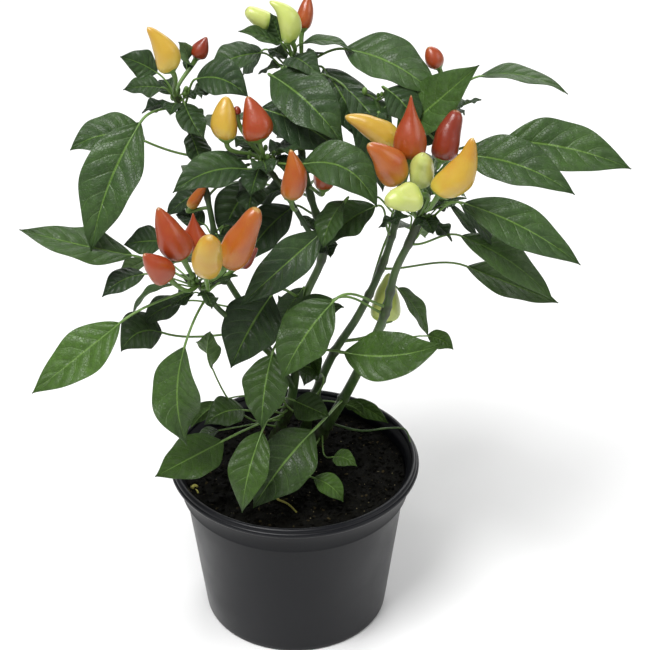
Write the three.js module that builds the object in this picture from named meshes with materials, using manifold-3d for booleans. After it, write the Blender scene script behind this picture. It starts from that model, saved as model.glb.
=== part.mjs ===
// A potted ornamental chilli pepper plant: a black nursery pot, its soil, three stems with their side
// branches, leaves with petioles, and upright fruits with stalks. Millimetres, +Z up, X to the right,
// Y to the back. The origin is the middle of the pot's flat base.
import * as THREE from "three";
import { mergeVertices } from "three/addons/utils/BufferGeometryUtils.js";
import Module from "manifold-3d";

// Pot: a standard 13 cm round nursery pot.
const RIM_RADIUS = 65;
const POT_HEIGHT = 92;
const BASE_RADIUS = 48.5;
const WALL_TOP_RADIUS = 57.6;
const WALL = 1.4;
const LIP_WIDTH = 4.6;
const LIP_HEIGHT = 5;
const COLLAR_HEIGHT = 17.5;
const COLLAR_STEP = 1.9;
const COLLAR_RADIUS = WALL_TOP_RADIUS + COLLAR_STEP;
const FLOOR = 2;
const DRAIN_HOLES = 6;
const DRAIN_RADIUS = 3.5;
const DRAIN_CIRCLE = 30;
const POT_SIDES = 44;

// Soil: its level below the rim, the crown in the middle and the gap to the pot.
const SOIL_DROP = 9;
const SOIL_CROWN = 3;
const SOIL_SIDES = 32;
const GAP = 0.35;

// Leaves and fruits.
const PETIOLE_RADIUS = 0.8;
const BLADE_THICKNESS = 0.45;
const FOLD = 0.28;
const PETIOLE_STEPS = 3;
const BLADE_STEPS = 8;
const WIDEST = 0.38;
const STALK_RADIUS = 1.1;
const FRUIT_SIDES = 8;
const STEM_SIDES = 8;

const COLOURS = {
  pot: 0x2b2c30,
  soil: 0x1d1712,
  stem: 0x4f7a35,
  leaf: 0x2f5a2e,
  pale: 0xe2e6a8,
  yellow: 0xe0a83a,
  orange: 0xd77a2c,
  vermilion: 0xc4502a,
  red: 0xa33420,
};

const wasm = await Module();
wasm.setup();

const plant = new THREE.Group();

function vec([x, y, z]) {
  return new THREE.Vector3(x, y, z);
}

function addPiece(name, geometry, colour, roughness) {
  const material = new THREE.MeshStandardMaterial({ color: colour, roughness, metalness: 0 });
  const mesh = new THREE.Mesh(geometry, material);
  mesh.name = name;
  plant.add(mesh);
}

// A closed solid through rings of points, each with the same count. The two ends close on a middle point.
// The diagonals alternate, so that the two faces of a thin, twisted blade are split alike and never cross.
function loft(rings) {
  const sides = rings[0].length;
  const points = rings.flat();
  const first = points.length;
  const middle = (ring) => ring.reduce((sum, p) => sum.add(p), new THREE.Vector3()).divideScalar(sides);
  points.push(middle(rings[0]), middle(rings[rings.length - 1]));
  const index = [];
  for (let r = 0; r < rings.length - 1; r++) {
    for (let i = 0; i < sides; i++) {
      const a = r * sides + i;
      const b = r * sides + ((i + 1) % sides);
      if (i % 2 === 0) {
        index.push(a, b, b + sides, a, b + sides, a + sides);
      } else {
        index.push(a, b, a + sides, b, b + sides, a + sides);
      }
    }
  }
  const last = (rings.length - 1) * sides;
  for (let i = 0; i < sides; i++) {
    const next = (i + 1) % sides;
    index.push(first, next, i);
    index.push(first + 1, last + i, last + next);
  }
  const geometry = new THREE.BufferGeometry().setFromPoints(points);
  geometry.setIndex(index);
  if (signedVolume(geometry) < 0) {
    geometry.setIndex(index.reverse());
  }
  geometry.computeVertexNormals();
  return geometry;
}

function signedVolume(geometry) {
  const position = geometry.getAttribute("position");
  const index = geometry.getIndex();
  const corner = [new THREE.Vector3(), new THREE.Vector3(), new THREE.Vector3()];
  let volume = 0;
  for (let i = 0; i < index.count; i += 3) {
    corner.forEach((c, k) => c.fromBufferAttribute(position, index.getX(i + k)));
    volume += corner[0].dot(corner[1].clone().cross(corner[2])) / 6;
  }
  return volume;
}

function toSolid(geometry) {
  const bare = geometry.clone();
  bare.deleteAttribute("normal");
  bare.deleteAttribute("uv");
  const merged = mergeVertices(bare, 1e-4);
  const vertProperties = Float32Array.from(merged.getAttribute("position").array);
  const triVerts = Uint32Array.from(merged.getIndex().array);
  return new wasm.Manifold(new wasm.Mesh({ numProp: 3, vertProperties, triVerts }));
}

function toGeometry(solid) {
  const mesh = solid.getMesh();
  const geometry = new THREE.BufferGeometry();
  geometry.setAttribute("position", new THREE.BufferAttribute(mesh.vertProperties, 3));
  geometry.setIndex(new THREE.BufferAttribute(mesh.triVerts, 1));
  geometry.computeVertexNormals();
  return geometry;
}

// Radius of the pot's tapered outer wall at a height, under the collar.
function wallRadius(height) {
  const collarFoot = POT_HEIGHT - COLLAR_HEIGHT;
  return BASE_RADIUS + (WALL_TOP_RADIUS - BASE_RADIUS) * (height / collarFoot);
}

function makePot() {
  const top = POT_HEIGHT;
  const collarFoot = top - COLLAR_HEIGHT;
  const collar = RIM_RADIUS - LIP_WIDTH;
  const outline = [
    [0, 0],
    [BASE_RADIUS - 1.2, 0],
    [BASE_RADIUS, 1.2],
    [wallRadius(collarFoot), collarFoot],
    [COLLAR_RADIUS, collarFoot + 0.8],
    [collar, top - LIP_HEIGHT - 0.6],
    [RIM_RADIUS - 0.8, top - LIP_HEIGHT],
    [RIM_RADIUS, top - LIP_HEIGHT * 0.7],
    [RIM_RADIUS - 0.8, top - 0.6],
    [RIM_RADIUS - 2.2, top],
    [collar - 0.4, top - 0.8],
    [COLLAR_RADIUS - WALL, top - 4],
    [COLLAR_RADIUS - WALL, collarFoot + 1.4],
    [wallRadius(collarFoot - 0.6) - WALL, collarFoot - 0.6],
    [wallRadius(FLOOR + 1.2) - WALL, FLOOR + 1.2],
    [wallRadius(FLOOR) - WALL - 1.2, FLOOR],
    [0, FLOOR],
  ];
  const shell = new THREE.LatheGeometry(outline.map(([r, z]) => new THREE.Vector2(r, z)), POT_SIDES);
  shell.rotateX(Math.PI / 2);
  let solid = toSolid(shell);
  for (let i = 0; i < DRAIN_HOLES; i++) {
    const angle = (i / DRAIN_HOLES) * 2 * Math.PI;
    const hole = new THREE.CylinderGeometry(DRAIN_RADIUS, DRAIN_RADIUS, FLOOR * 4, 12);
    hole.rotateX(Math.PI / 2);
    hole.translate(DRAIN_CIRCLE * Math.cos(angle), DRAIN_CIRCLE * Math.sin(angle), 0);
    solid = solid.subtract(toSolid(hole));
  }
  addPiece("pot", toGeometry(solid), COLOURS.pot, 0.4);
}

// Height of the soil's surface: crowned, with a slow unevenness.
function soilHeight(x, y) {
  const edge = COLLAR_RADIUS - WALL;
  const reach = Math.min(1, Math.hypot(x, y) / edge);
  const uneven = 0.7 * Math.sin(x * 0.16) * Math.cos(y * 0.13 + 0.6);
  return POT_HEIGHT - SOIL_DROP + SOIL_CROWN * (1 - reach * reach) + uneven;
}

function makeSoil() {
  const ring = (radius, heightAt) => {
    const points = [];
    for (let i = 0; i < SOIL_SIDES; i++) {
      const angle = (i / SOIL_SIDES) * 2 * Math.PI;
      const x = radius * Math.cos(angle);
      const y = radius * Math.sin(angle);
      points.push(new THREE.Vector3(x, y, heightAt(x, y)));
    }
    return points;
  };
  const floor = FLOOR + GAP;
  const foot = POT_HEIGHT - COLLAR_HEIGHT;
  const inside = (radius) => (radius - WALL) * Math.cos(Math.PI / POT_SIDES) - GAP;
  const edge = inside(COLLAR_RADIUS);
  const rings = [
    ring(6, () => floor),
    ring(BASE_RADIUS - WALL - 2, () => floor),
    ring(inside(wallRadius(6)), () => 6),
    ring(inside(wallRadius(foot - 2)), () => foot - 2),
    ring(inside(wallRadius(foot - 2)), () => foot + 1.9),
    ring(edge, () => foot + 2.3),
    ring(edge, (x, y) => Math.min(soilHeight(x, y), POT_HEIGHT - SOIL_DROP)),
    ring(edge * 0.72, soilHeight),
    ring(edge * 0.4, soilHeight),
    ring(edge * 0.12, soilHeight),
  ];
  addPiece("soil", loft(rings), COLOURS.soil, 1);
}

// Stems: hand-set courses from the soil up, with the radius at the foot and at the top.
const STEMS = {
  right: {
    course: [[12, 20, 88], [25, 10, 120], [35, 0, 150], [45, -5, 180], [50, -5, 205],
      [58, -5, 225], [65, 0, 245], [70, 15, 260], [75, 35, 275]],
    foot: 2.9, top: 1.3 },
  middle: {
    course: [[5, 28, 88], [10, 20, 115], [20, 15, 145], [32, 10, 170], [42, 8, 195],
      [48, 8, 215], [52, 12, 235], [50, 20, 255], [40, 30, 280]],
    foot: 2.6, top: 1.2 },
  centre: {
    course: [[-10, 24, 88], [-2, 18, 115], [2, 12, 150], [5, 8, 180], [14, 6, 205],
      [14, 8, 220], [8, 14, 240], [2, 30, 270], [0, 42, 295]],
    foot: 2.8, top: 1.2 },
  left: {
    course: [[-1, 15, 125], [-12, 6, 152], [-25, 0, 183], [-35, 3, 203], [-40, 10, 230],
      [-46, 16, 260], [-55, 18, 287]],
    foot: 2.0, top: 1.1 },
  lower: {
    course: [[-11, 7, 149], [-22, -9, 172], [-35, -20, 192], [-45, -30, 214]],
    foot: 1.7, top: 1.2 },
  inner: {
    course: [[14, 6, 210], [5, 0, 230], [-5, -2, 250], [-15, 2, 262]],
    foot: 1.5, top: 1.1 },
};

function stemCurve(name) {
  return new THREE.CatmullRomCurve3(STEMS[name].course.map(vec));
}

function stemRadius(name, along) {
  const { foot, top } = STEMS[name];
  return foot + (top - foot) * along;
}

function stemSolid(name) {
  const curve = stemCurve(name);
  const steps = STEMS[name].course.length * 2;
  const frames = curve.computeFrenetFrames(steps);
  const rings = [];
  for (let s = 0; s <= steps; s++) {
    const centre = curve.getPointAt(s / steps);
    const radius = stemRadius(name, s / steps);
    rings.push(ringAround(centre, frames.normals[s], frames.binormals[s], radius, radius, STEM_SIDES));
  }
  return toSolid(loft(rings));
}

function ringAround(centre, side, up, halfWidth, halfHeight, count) {
  const points = [];
  for (let i = 0; i < count; i++) {
    const angle = (i / count) * 2 * Math.PI;
    const point = centre.clone().addScaledVector(side, halfWidth * Math.cos(angle));
    points.push(point.addScaledVector(up, halfHeight * Math.sin(angle)));
  }
  return points;
}

function makeStems() {
  const centre = stemSolid("centre").add(stemSolid("left")).add(stemSolid("lower")).add(stemSolid("inner"));
  addPiece("stem_centre", toGeometry(centre), COLOURS.stem, 0.6);
  addPiece("stem_right", toGeometry(stemSolid("right")), COLOURS.stem, 0.6);
  addPiece("stem_middle", toGeometry(stemSolid("middle")), COLOURS.stem, 0.6);
}

// A stalk's course from just outside a stem to a blade or a fruit.
function stalkCurve(stem, at, end, endDirection, radius) {
  const curve = stemCurve(stem);
  const joint = curve.getPointAt(at);
  const along = curve.getTangentAt(at);
  const out = end.clone().sub(joint).normalize();
  const across = out.clone().addScaledVector(along, -out.dot(along)).normalize();
  const lean = across.clone().addScaledVector(along, 0.35).normalize();
  const clear = at > 0.99 ? 0 : stemRadius(stem, at) + radius + GAP;
  const start = at > 0.99 ? joint.clone().addScaledVector(along, GAP) : joint.addScaledVector(across, clear);
  const reach = start.distanceTo(end) / 3;
  const leave = at > 0.99 ? along : lean;
  return new THREE.CubicBezierCurve3(
    start,
    start.clone().addScaledVector(leave, reach),
    end.clone().addScaledVector(endDirection, -reach),
    end,
  );
}

// Half width of a blade at a share of its length: widest before the middle, drawn out at the tip.
function bladeShape(u) {
  const rise = 0.95;
  const fall = (rise * (1 - WIDEST)) / WIDEST;
  const peak = Math.pow(WIDEST, rise) * Math.pow(1 - WIDEST, fall);
  return (Math.pow(u, rise) * Math.pow(1 - u, fall)) / peak;
}

// A leaf: base and tip of its blade, the midrib's arch and sideways sway, the blade's width and its roll
// about the midrib in degrees (positive lifts the right-hand side, seen from base to tip).
function makeLeaf(name, stem, at, base, tip, arch, sway, width, roll) {
  const up = new THREE.Vector3(0, 0, 1);
  const start = vec(base);
  const end = vec(tip);
  const chord = end.clone().sub(start).normalize();
  const level = chord.clone().cross(up).normalize();
  const above = level.clone().cross(chord);
  const control = start.clone().add(end).multiplyScalar(0.5);
  control.addScaledVector(above, 2 * arch).addScaledVector(level, 2 * sway);
  const midrib = new THREE.QuadraticBezierCurve3(start, control, end);
  const stalk = stalkCurve(stem, at, start, midrib.getTangent(0), PETIOLE_RADIUS);
  const turn = THREE.MathUtils.degToRad(roll);
  const rings = [];
  const sideOf = (tangent) => {
    const flat = tangent.clone().cross(up).normalize();
    const over = flat.clone().cross(tangent);
    return flat.multiplyScalar(Math.cos(turn)).addScaledVector(over, Math.sin(turn));
  };
  const bladeSide = sideOf(midrib.getTangent(0));
  const addRing = (centre, tangent, side, halfWidth, halfThickness, share) => {
    const normal = side.clone().cross(tangent);
    const rise = halfWidth * Math.sin(FOLD) * share;
    const reach = halfWidth * Math.cos(FOLD * share);
    rings.push([
      centre.clone().addScaledVector(side, reach).addScaledVector(normal, rise),
      centre.clone().addScaledVector(normal, halfThickness),
      centre.clone().addScaledVector(side, -reach).addScaledVector(normal, rise),
      centre.clone().addScaledVector(normal, -halfThickness),
    ]);
  };
  for (let s = 0; s < PETIOLE_STEPS; s++) {
    const t = s / PETIOLE_STEPS;
    const tangent = stalk.getTangent(t);
    const side = bladeSide.clone().addScaledVector(tangent, -bladeSide.dot(tangent)).normalize();
    addRing(stalk.getPoint(t), tangent, side, PETIOLE_RADIUS, PETIOLE_RADIUS, t * t);
  }
  for (let s = 0; s <= BLADE_STEPS; s++) {
    const u = Math.min(0.98, s / BLADE_STEPS);
    const tangent = midrib.getTangent(u);
    const halfWidth = Math.max(PETIOLE_RADIUS * (1 - 0.6 * u), (width / 2) * bladeShape(u));
    const halfThickness = PETIOLE_RADIUS + (BLADE_THICKNESS / 2 - PETIOLE_RADIUS) * Math.sqrt(u);
    addRing(midrib.getPoint(u), tangent, sideOf(tangent), halfWidth, halfThickness, 1);
  }
  addPiece(`leaf_${name}`, loft(rings), COLOURS.leaf, 0.5);
}

// Radius of a fruit at a share of its length: broad shoulder, then a long taper to a blunt spike.
const FRUIT_PROFILE = [[0, 0.45], [0.06, 0.82], [0.2, 1], [0.4, 0.96], [0.6, 0.76], [0.8, 0.46], [0.96, 0.18]];

// A fruit with its calyx and stalk: foot of the fruit, its tip, its width and its skin colour.
function makeFruit(name, stem, at, foot, tip, width, colour) {
  const start = vec(foot);
  const end = vec(tip);
  const axis = end.clone().sub(start);
  const direction = axis.clone().normalize();
  const stalk = stalkCurve(stem, at, start, direction, STALK_RADIUS);
  const side = direction.clone().cross(new THREE.Vector3(0.31, 0.87, 0.38)).normalize();
  const other = direction.clone().cross(side);
  const rings = [];
  for (let s = 0; s < PETIOLE_STEPS; s++) {
    const centre = stalk.getPoint(s / PETIOLE_STEPS);
    const tangent = stalk.getTangent(s / PETIOLE_STEPS);
    const across = tangent.clone().cross(side.clone().cross(direction)).normalize();
    const radius = STALK_RADIUS;
    rings.push(ringAround(centre, across, tangent.clone().cross(across), radius, radius, FRUIT_SIDES));
  }
  for (const [share, girth] of FRUIT_PROFILE) {
    const centre = start.clone().addScaledVector(axis, share);
    const radius = (girth * width) / 2;
    rings.push(ringAround(centre, side, other, radius, radius, FRUIT_SIDES));
  }
  addPiece(`fruit_${name}`, loft(rings), colour, 0.35);
}

function makeLeaves() {
  // Top left shoot.
  makeLeaf("shoot_left", "left", 0.96, [-45, 20, 295], [-20, 10, 290], 5, 1, 20, -40);
  makeLeaf("left_back", "left", 0.82, [-70, 15, 265], [-105, 5, 265], 5, 2, 25, 30);
  makeLeaf("left_hanging", "left", 0.97, [-70, 0, 282], [-94, -26, 227], 5, 0, 28, 30);
  // Top centre shoot.
  makeLeaf("crown_left", "centre", 0.97, [-15, 40, 300], [-40, 30, 295], 2, 0, 18, 20);
  makeLeaf("crown_front", "centre", 0.93, [-10, 25, 295], [25, 0, 270], 6, 3, 27, -35);
  makeLeaf("crown_back", "centre", 0.95, [15, 45, 290], [35, 20, 260], 3, 0, 25, -5);
  makeLeaf("crown_right", "centre", 0.98, [25, 45, 300], [70, 20, 285], 5, 0, 28, -25);
  makeLeaf("centre_dark", "centre", 0.85, [-15, 20, 280], [25, 10, 260], 4, 1, 27, -35);
  // Centre left shoot.
  makeLeaf("inner_long", "inner", 0.96, [-20, -5, 260], [-55, -20, 255], 5, 0, 20, 35);
  makeLeaf("inner_dark", "inner", 0.83, [-20, 20, 240], [-35, 10, 215], 2, 0, 22, 35);
  makeLeaf("centre_light", "inner", 0.9, [5, -10, 265], [40, -25, 250], 10, 0, 24, -35);
  makeLeaf("centre_long", "centre", 0.61, [15, -10, 230], [-25, -30, 200], 1, -1, 20, 50);
  makeLeaf("centre_left", "centre", 0.66, [0, 15, 230], [-25, 0, 205], 3, 0, 22, 25);
  // Middle of the plant.
  makeLeaf("middle_dark", "centre", 0.44, [-10, -10, 195], [-30, -30, 165], 2, 0, 29, 40);
  makeLeaf("middle_broad", "right", 0.49, [20, -25, 200], [-5, -40, 165], 2, 1, 28, 30);
  makeLeaf("middle_right", "centre", 0.3, [25, -20, 168], [72, -35, 182], -3, 2, 26, -45);
  // Left shoot.
  makeLeaf("left_far", "lower", 0.97, [-75, -20, 222], [-128, -20, 236], 1, -3, 22, 20);
  makeLeaf("left_long", "lower", 0.95, [-80, -45, 200], [-122, -60, 170], 0, 0, 24, 35);
  makeLeaf("left_dark", "left", 0.27, [-65, -5, 170], [-85, -15, 165], 6, 0, 23, 30);
  makeLeaf("left_low", "lower", 0.84, [-50, -50, 190], [-50, -60, 140], 3, 4, 26, -15);
  // Low over the soil and the rim.
  makeLeaf("rim_left", "centre", 0.08, [-35, -30, 122], [-67, -56, 119], 0, 0, 22, 30);
  makeLeaf("front_upper", "centre", 0.24, [-10, -25, 170], [-15, -45, 140], 1, 1, 23, 5);
  makeLeaf("front_hanging", "centre", 0.1, [-15, -40, 135], [-25, -60, 100], 6, -1, 20, 15);
  makeLeaf("front_broad", "right", 0.17, [10, -25, 125], [-20, -50, 95], 5, -2, 29, 40);
  // Right shoot.
  makeLeaf("right_far", "right", 0.87, [100, 5, 270], [160, -5, 260], 3, -1, 26, -45);
  makeLeaf("right_upper", "right", 0.82, [80, 0, 265], [132, -20, 254], 5, 0, 24, -40);
  makeLeaf("right_middle", "right", 0.71, [80, -20, 250], [135, -35, 225], 4, 1, 23, -35);
  makeLeaf("right_lower", "right", 0.66, [80, -15, 230], [125, -25, 200], 4, 0, 20, -25);
  makeLeaf("right_lowest", "middle", 0.58, [85, 0, 205], [130, -10, 190], 0, 0, 20, -20);
  makeLeaf("right_raised", "middle", 0.9, [50, 20, 265], [87, 6, 308], 0, 0, 26, -55);
  makeLeaf("right_arching", "right", 0.99, [90, 35, 290], [132, 25, 285], 5, 0, 19, 0);
  // Back of the plant.
  makeLeaf("back_high", "centre", 0.88, [10, 60, 270], [20, 110, 240], 4, 0, 26, 0);
  makeLeaf("back_crown", "centre", 0.86, [-20, 50, 260], [-45, 105, 230], 4, 0, 26, 0);
  makeLeaf("back_middle", "centre", 0.72, [15, 50, 230], [30, 110, 200], 4, 0, 28, 0);
  makeLeaf("back_left", "left", 0.75, [-30, 40, 240], [-60, 90, 210], 4, 0, 24, 0);
  makeLeaf("back_right", "middle", 0.7, [60, 35, 245], [85, 95, 210], 4, 0, 26, 0);
  makeLeaf("back_low", "middle", 0.5, [50, 30, 210], [70, 85, 175], 4, 0, 24, 0);
}

function makeFruits() {
  const { pale, yellow, orange, vermilion, red } = COLOURS;
  makeFruit("shoot_yellow", "left", 1, [-55, 5, 306], [-65, 5, 327], 12, yellow);
  makeFruit("crown_pale", "centre", 1, [0, 30, 310], [-10, 30, 330], 11, pale);
  makeFruit("crown_red", "centre", 0.96, [5, 45, 310], [8, 50, 325], 8, vermilion);
  makeFruit("right_small", "right", 0.96, [70, 35, 295], [65, 35, 305], 9, vermilion);
  makeFruit("inner_orange", "inner", 1, [-30, -5, 275], [-30, 0, 295], 12, orange);
  makeFruit("inner_red", "inner", 0.92, [-15, -5, 275], [-20, 0, 295], 14, vermilion);
  makeFruit("centre_orange", "inner", 0.5, [0, -15, 250], [0, -15, 275], 12, orange);
  makeFruit("right_long", "right", 0.74, [50, 0, 270], [25, 0, 285], 12, orange);
  makeFruit("right_red", "right", 0.72, [50, -25, 265], [35, -30, 285], 13, vermilion);
  makeFruit("right_spiked", "right", 0.78, [55, -15, 270], [55, -10, 300], 14, red);
  makeFruit("right_dark", "right", 0.83, [70, -5, 265], [77, 0, 288], 12, red);
  makeFruit("right_yellow", "right", 0.74, [68, -32, 261], [82, -34, 290], 14, yellow);
  makeFruit("right_pale", "right", 0.77, [60, -20, 260], [60, -30, 280], 11, pale);
  makeFruit("left_red", "lower", 1, [-50, -40, 232], [-60, -40, 258], 15, vermilion);
  makeFruit("left_small", "lower", 0.89, [-45, -30, 230], [-45, -30, 250], 11, vermilion);
  makeFruit("left_orange", "lower", 0.95, [-30, -35, 225], [-15, -35, 255], 15, orange);
  makeFruit("left_yellow", "lower", 0.93, [-38, -55, 233], [-35, -68, 258], 14, yellow);
  makeFruit("left_lowest", "lower", 0.97, [-56, -50, 227], [-66, -55, 242], 12, vermilion);
}

makePot();
makeSoil();
makeStems();
makeLeaves();
makeFruits();

export default plant;
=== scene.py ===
"""A potted ornamental chilli pepper plant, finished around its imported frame.

Everything is in metres in the frame of the part: +Z up, X to the right, Y to the back, origin in the middle
of the pot's base. Plans are written in millimetres.
"""

import logging
import math
import random
from dataclasses import dataclass
from enum import Enum
from itertools import pairwise

import bmesh
import bpy
from mathutils import Matrix, Vector, noise


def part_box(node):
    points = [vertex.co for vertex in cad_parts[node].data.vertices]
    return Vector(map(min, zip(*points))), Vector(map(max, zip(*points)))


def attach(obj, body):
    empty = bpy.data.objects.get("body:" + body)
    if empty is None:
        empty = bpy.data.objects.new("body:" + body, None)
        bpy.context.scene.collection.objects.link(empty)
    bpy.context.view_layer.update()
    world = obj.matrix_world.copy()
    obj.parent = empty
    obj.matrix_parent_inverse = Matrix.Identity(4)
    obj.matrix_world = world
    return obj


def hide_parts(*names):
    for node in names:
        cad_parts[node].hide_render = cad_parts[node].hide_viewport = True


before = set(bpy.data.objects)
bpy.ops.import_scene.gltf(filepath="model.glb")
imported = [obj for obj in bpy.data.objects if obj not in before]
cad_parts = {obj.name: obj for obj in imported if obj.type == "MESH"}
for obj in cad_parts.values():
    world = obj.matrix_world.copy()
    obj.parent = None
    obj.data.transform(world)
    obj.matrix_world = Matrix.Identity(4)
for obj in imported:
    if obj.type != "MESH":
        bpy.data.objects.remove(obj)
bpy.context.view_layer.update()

LOG = logging.getLogger("chilli_plant")
MM = 0.001
BODY = "root"
GOLDEN_ANGLE = math.radians(137.5)
UP = Vector((0.0, 0.0, 1.0))
SEED = 20

Place = tuple[float, float, float]
Colour = tuple[float, float, float]

# Leaf surface: the lateral veins per side and how far they sweep forward, shared by shape and colour.
VEINS = 7.0
VEIN_SWEEP = 0.19
VEIN_SPREAD = 0.92
VEIN_STAGGER = 0.4
# Blades that start under the first height take the low leaves' colours in full, and above the second not at
# all; these colours are warmer, and darker as painted shade from the crown above.
LOW_SHADE_HEIGHTS = (150.0, 235.0)
# Where along its length a blade is widest, and how fast it widens from its base.
WIDEST = 0.42
WIDENING = 0.9
# How deep the uneven edge of a blade is, as a share of its half width.
EDGE_DEPTH = 0.035
# How far along a stem a joint's swelling reaches, and the height that the lamps face.
JOINT_REACH = 1.9 * MM
LAMP_AIM = Vector((0.0, 0.0, 0.18))


def metres(place: Place) -> Vector:
    """Turn a place in millimetres into a vector in metres."""
    return Vector(place) * MM


# ---------------------------------------------------------------------------------------------------------
# Finishes
# ---------------------------------------------------------------------------------------------------------


class NodeDesk:
    """Short calls that place and link the nodes of one material."""

    def __init__(self, name: str) -> None:
        """Start a material with a Principled surface.

        Args:
            name: The material's name.
        """
        self.material = bpy.data.materials.new(name)
        self.material.use_nodes = True
        self.tree = self.material.node_tree
        self.shader = self.tree.nodes["Principled BSDF"]
        self.tree.nodes["Material Output"].location = (400, 0)

    def node(self, kind: str, **settings: object) -> bpy.types.Node:
        """Add a node and set its own properties.

        Args:
            kind: The node type.
            settings: The node's own properties.

        Returns:
            The new node.
        """
        made = self.tree.nodes.new(kind)
        for key, value in settings.items():
            setattr(made, key, value)
        return made

    def feed(self, socket: bpy.types.NodeSocket, value: object) -> None:
        """Link a socket into another, or set its value where a plain number or colour is given.

        Args:
            socket: The input to feed.
            value: A socket, a number or a colour.
        """
        if isinstance(value, bpy.types.NodeSocket):
            self.tree.links.new(value, socket)
        elif isinstance(value, tuple) and len(value) == 3 and len(socket.default_value) == 4:
            socket.default_value = (*value, 1.0)
        else:
            socket.default_value = value

    def sum(self, operation: str, *terms: object, clamp: bool = False) -> bpy.types.NodeSocket:
        """Work out one Math node.

        Args:
            operation: The Math operation.
            terms: Numbers or sockets.
            clamp: Whether the result is kept from 0 to 1.

        Returns:
            The result's socket.
        """
        made = self.node("ShaderNodeMath", operation=operation, use_clamp=clamp)
        for socket, term in zip(made.inputs, terms):
            self.feed(socket, term)
        return made.outputs[0]

    def blend(self, share: object, low: object, high: object, mode: str = "MIX") -> bpy.types.NodeSocket:
        """Mix two colours.

        Args:
            share: How much of the second colour, from 0 to 1.
            low: The colour at 0.
            high: The colour at 1.
            mode: The blend type.

        Returns:
            The mixed colour's socket.
        """
        made = self.node("ShaderNodeMix", data_type="RGBA", blend_type=mode, clamp_factor=True)
        self.feed(made.inputs[0], share)
        self.feed(made.inputs[6], low)
        self.feed(made.inputs[7], high)
        return made.outputs[2]

    def band(self, value: object, low: float, high: float, out: tuple[float, float] = (0.0, 1.0)) -> object:
        """Ease a value from one range to another with a smooth step.

        Args:
            value: The number or socket to ease.
            low: The start of its range.
            high: The end of its range.
            out: What the start and the end become.

        Returns:
            The result's socket.
        """
        made = self.node("ShaderNodeMapRange", interpolation_type="SMOOTHSTEP")
        for socket, term in zip(made.inputs, (value, low, high, *out)):
            self.feed(socket, term)
        return made.outputs[0]

    def place(self, scale: Place = (1.0, 1.0, 1.0), source: str = "Object") -> bpy.types.NodeSocket:
        """Give the piece's own coordinates, stretched by a Mapping node.

        Args:
            scale: The stretch along each axis.
            source: The output of Texture Coordinate.

        Returns:
            The coordinates' socket.
        """
        coordinates = self.node("ShaderNodeTexCoord").outputs[source]
        mapping = self.node("ShaderNodeMapping")
        self.feed(mapping.inputs["Vector"], coordinates)
        self.feed(mapping.inputs["Scale"], scale)
        return mapping.outputs[0]

    def grain(self, scale: float, detail: float = 3.0, vector: object = None, rough: float = 0.5) -> object:
        """Give a noise value around 0.5.

        Args:
            scale: The size of the pattern, finer when larger.
            detail: The layers of noise.
            vector: The coordinates, or the piece's own.
            rough: How strong the finer layers are.

        Returns:
            The value's socket.
        """
        made = self.node("ShaderNodeTexNoise")
        self.feed(made.inputs["Vector"], vector if vector is not None else self.place())
        self.feed(made.inputs["Scale"], scale)
        self.feed(made.inputs["Detail"], detail)
        self.feed(made.inputs["Roughness"], rough)
        return made.outputs["Fac"]

    def attribute(self, name: str) -> bpy.types.NodeSocket:
        """Read a number stored on the mesh."""
        return self.node("ShaderNodeAttribute", attribute_name=name).outputs["Fac"]

    def relief(self, height: object, distance: float, strength: float = 1.0) -> None:
        """Raise the surface's normal by a height pattern, in metres.

        Args:
            height: The height pattern.
            distance: The height of its full range, in metres.
            strength: How much of it shows.
        """
        bump = self.node("ShaderNodeBump")
        self.feed(bump.inputs["Height"], height)
        self.feed(bump.inputs["Distance"], distance)
        self.feed(bump.inputs["Strength"], strength)
        self.feed(self.shader.inputs["Normal"], bump.outputs[0])

    def surface(self, **sockets: object) -> bpy.types.Material:
        """Set the shader's sockets, named with underscores for spaces, and give the material.

        Args:
            sockets: A value or socket for each shader input.

        Returns:
            The material.
        """
        for key, value in sockets.items():
            self.feed(self.shader.inputs[key.replace("_", " ")], value)
        return self.material


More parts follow.
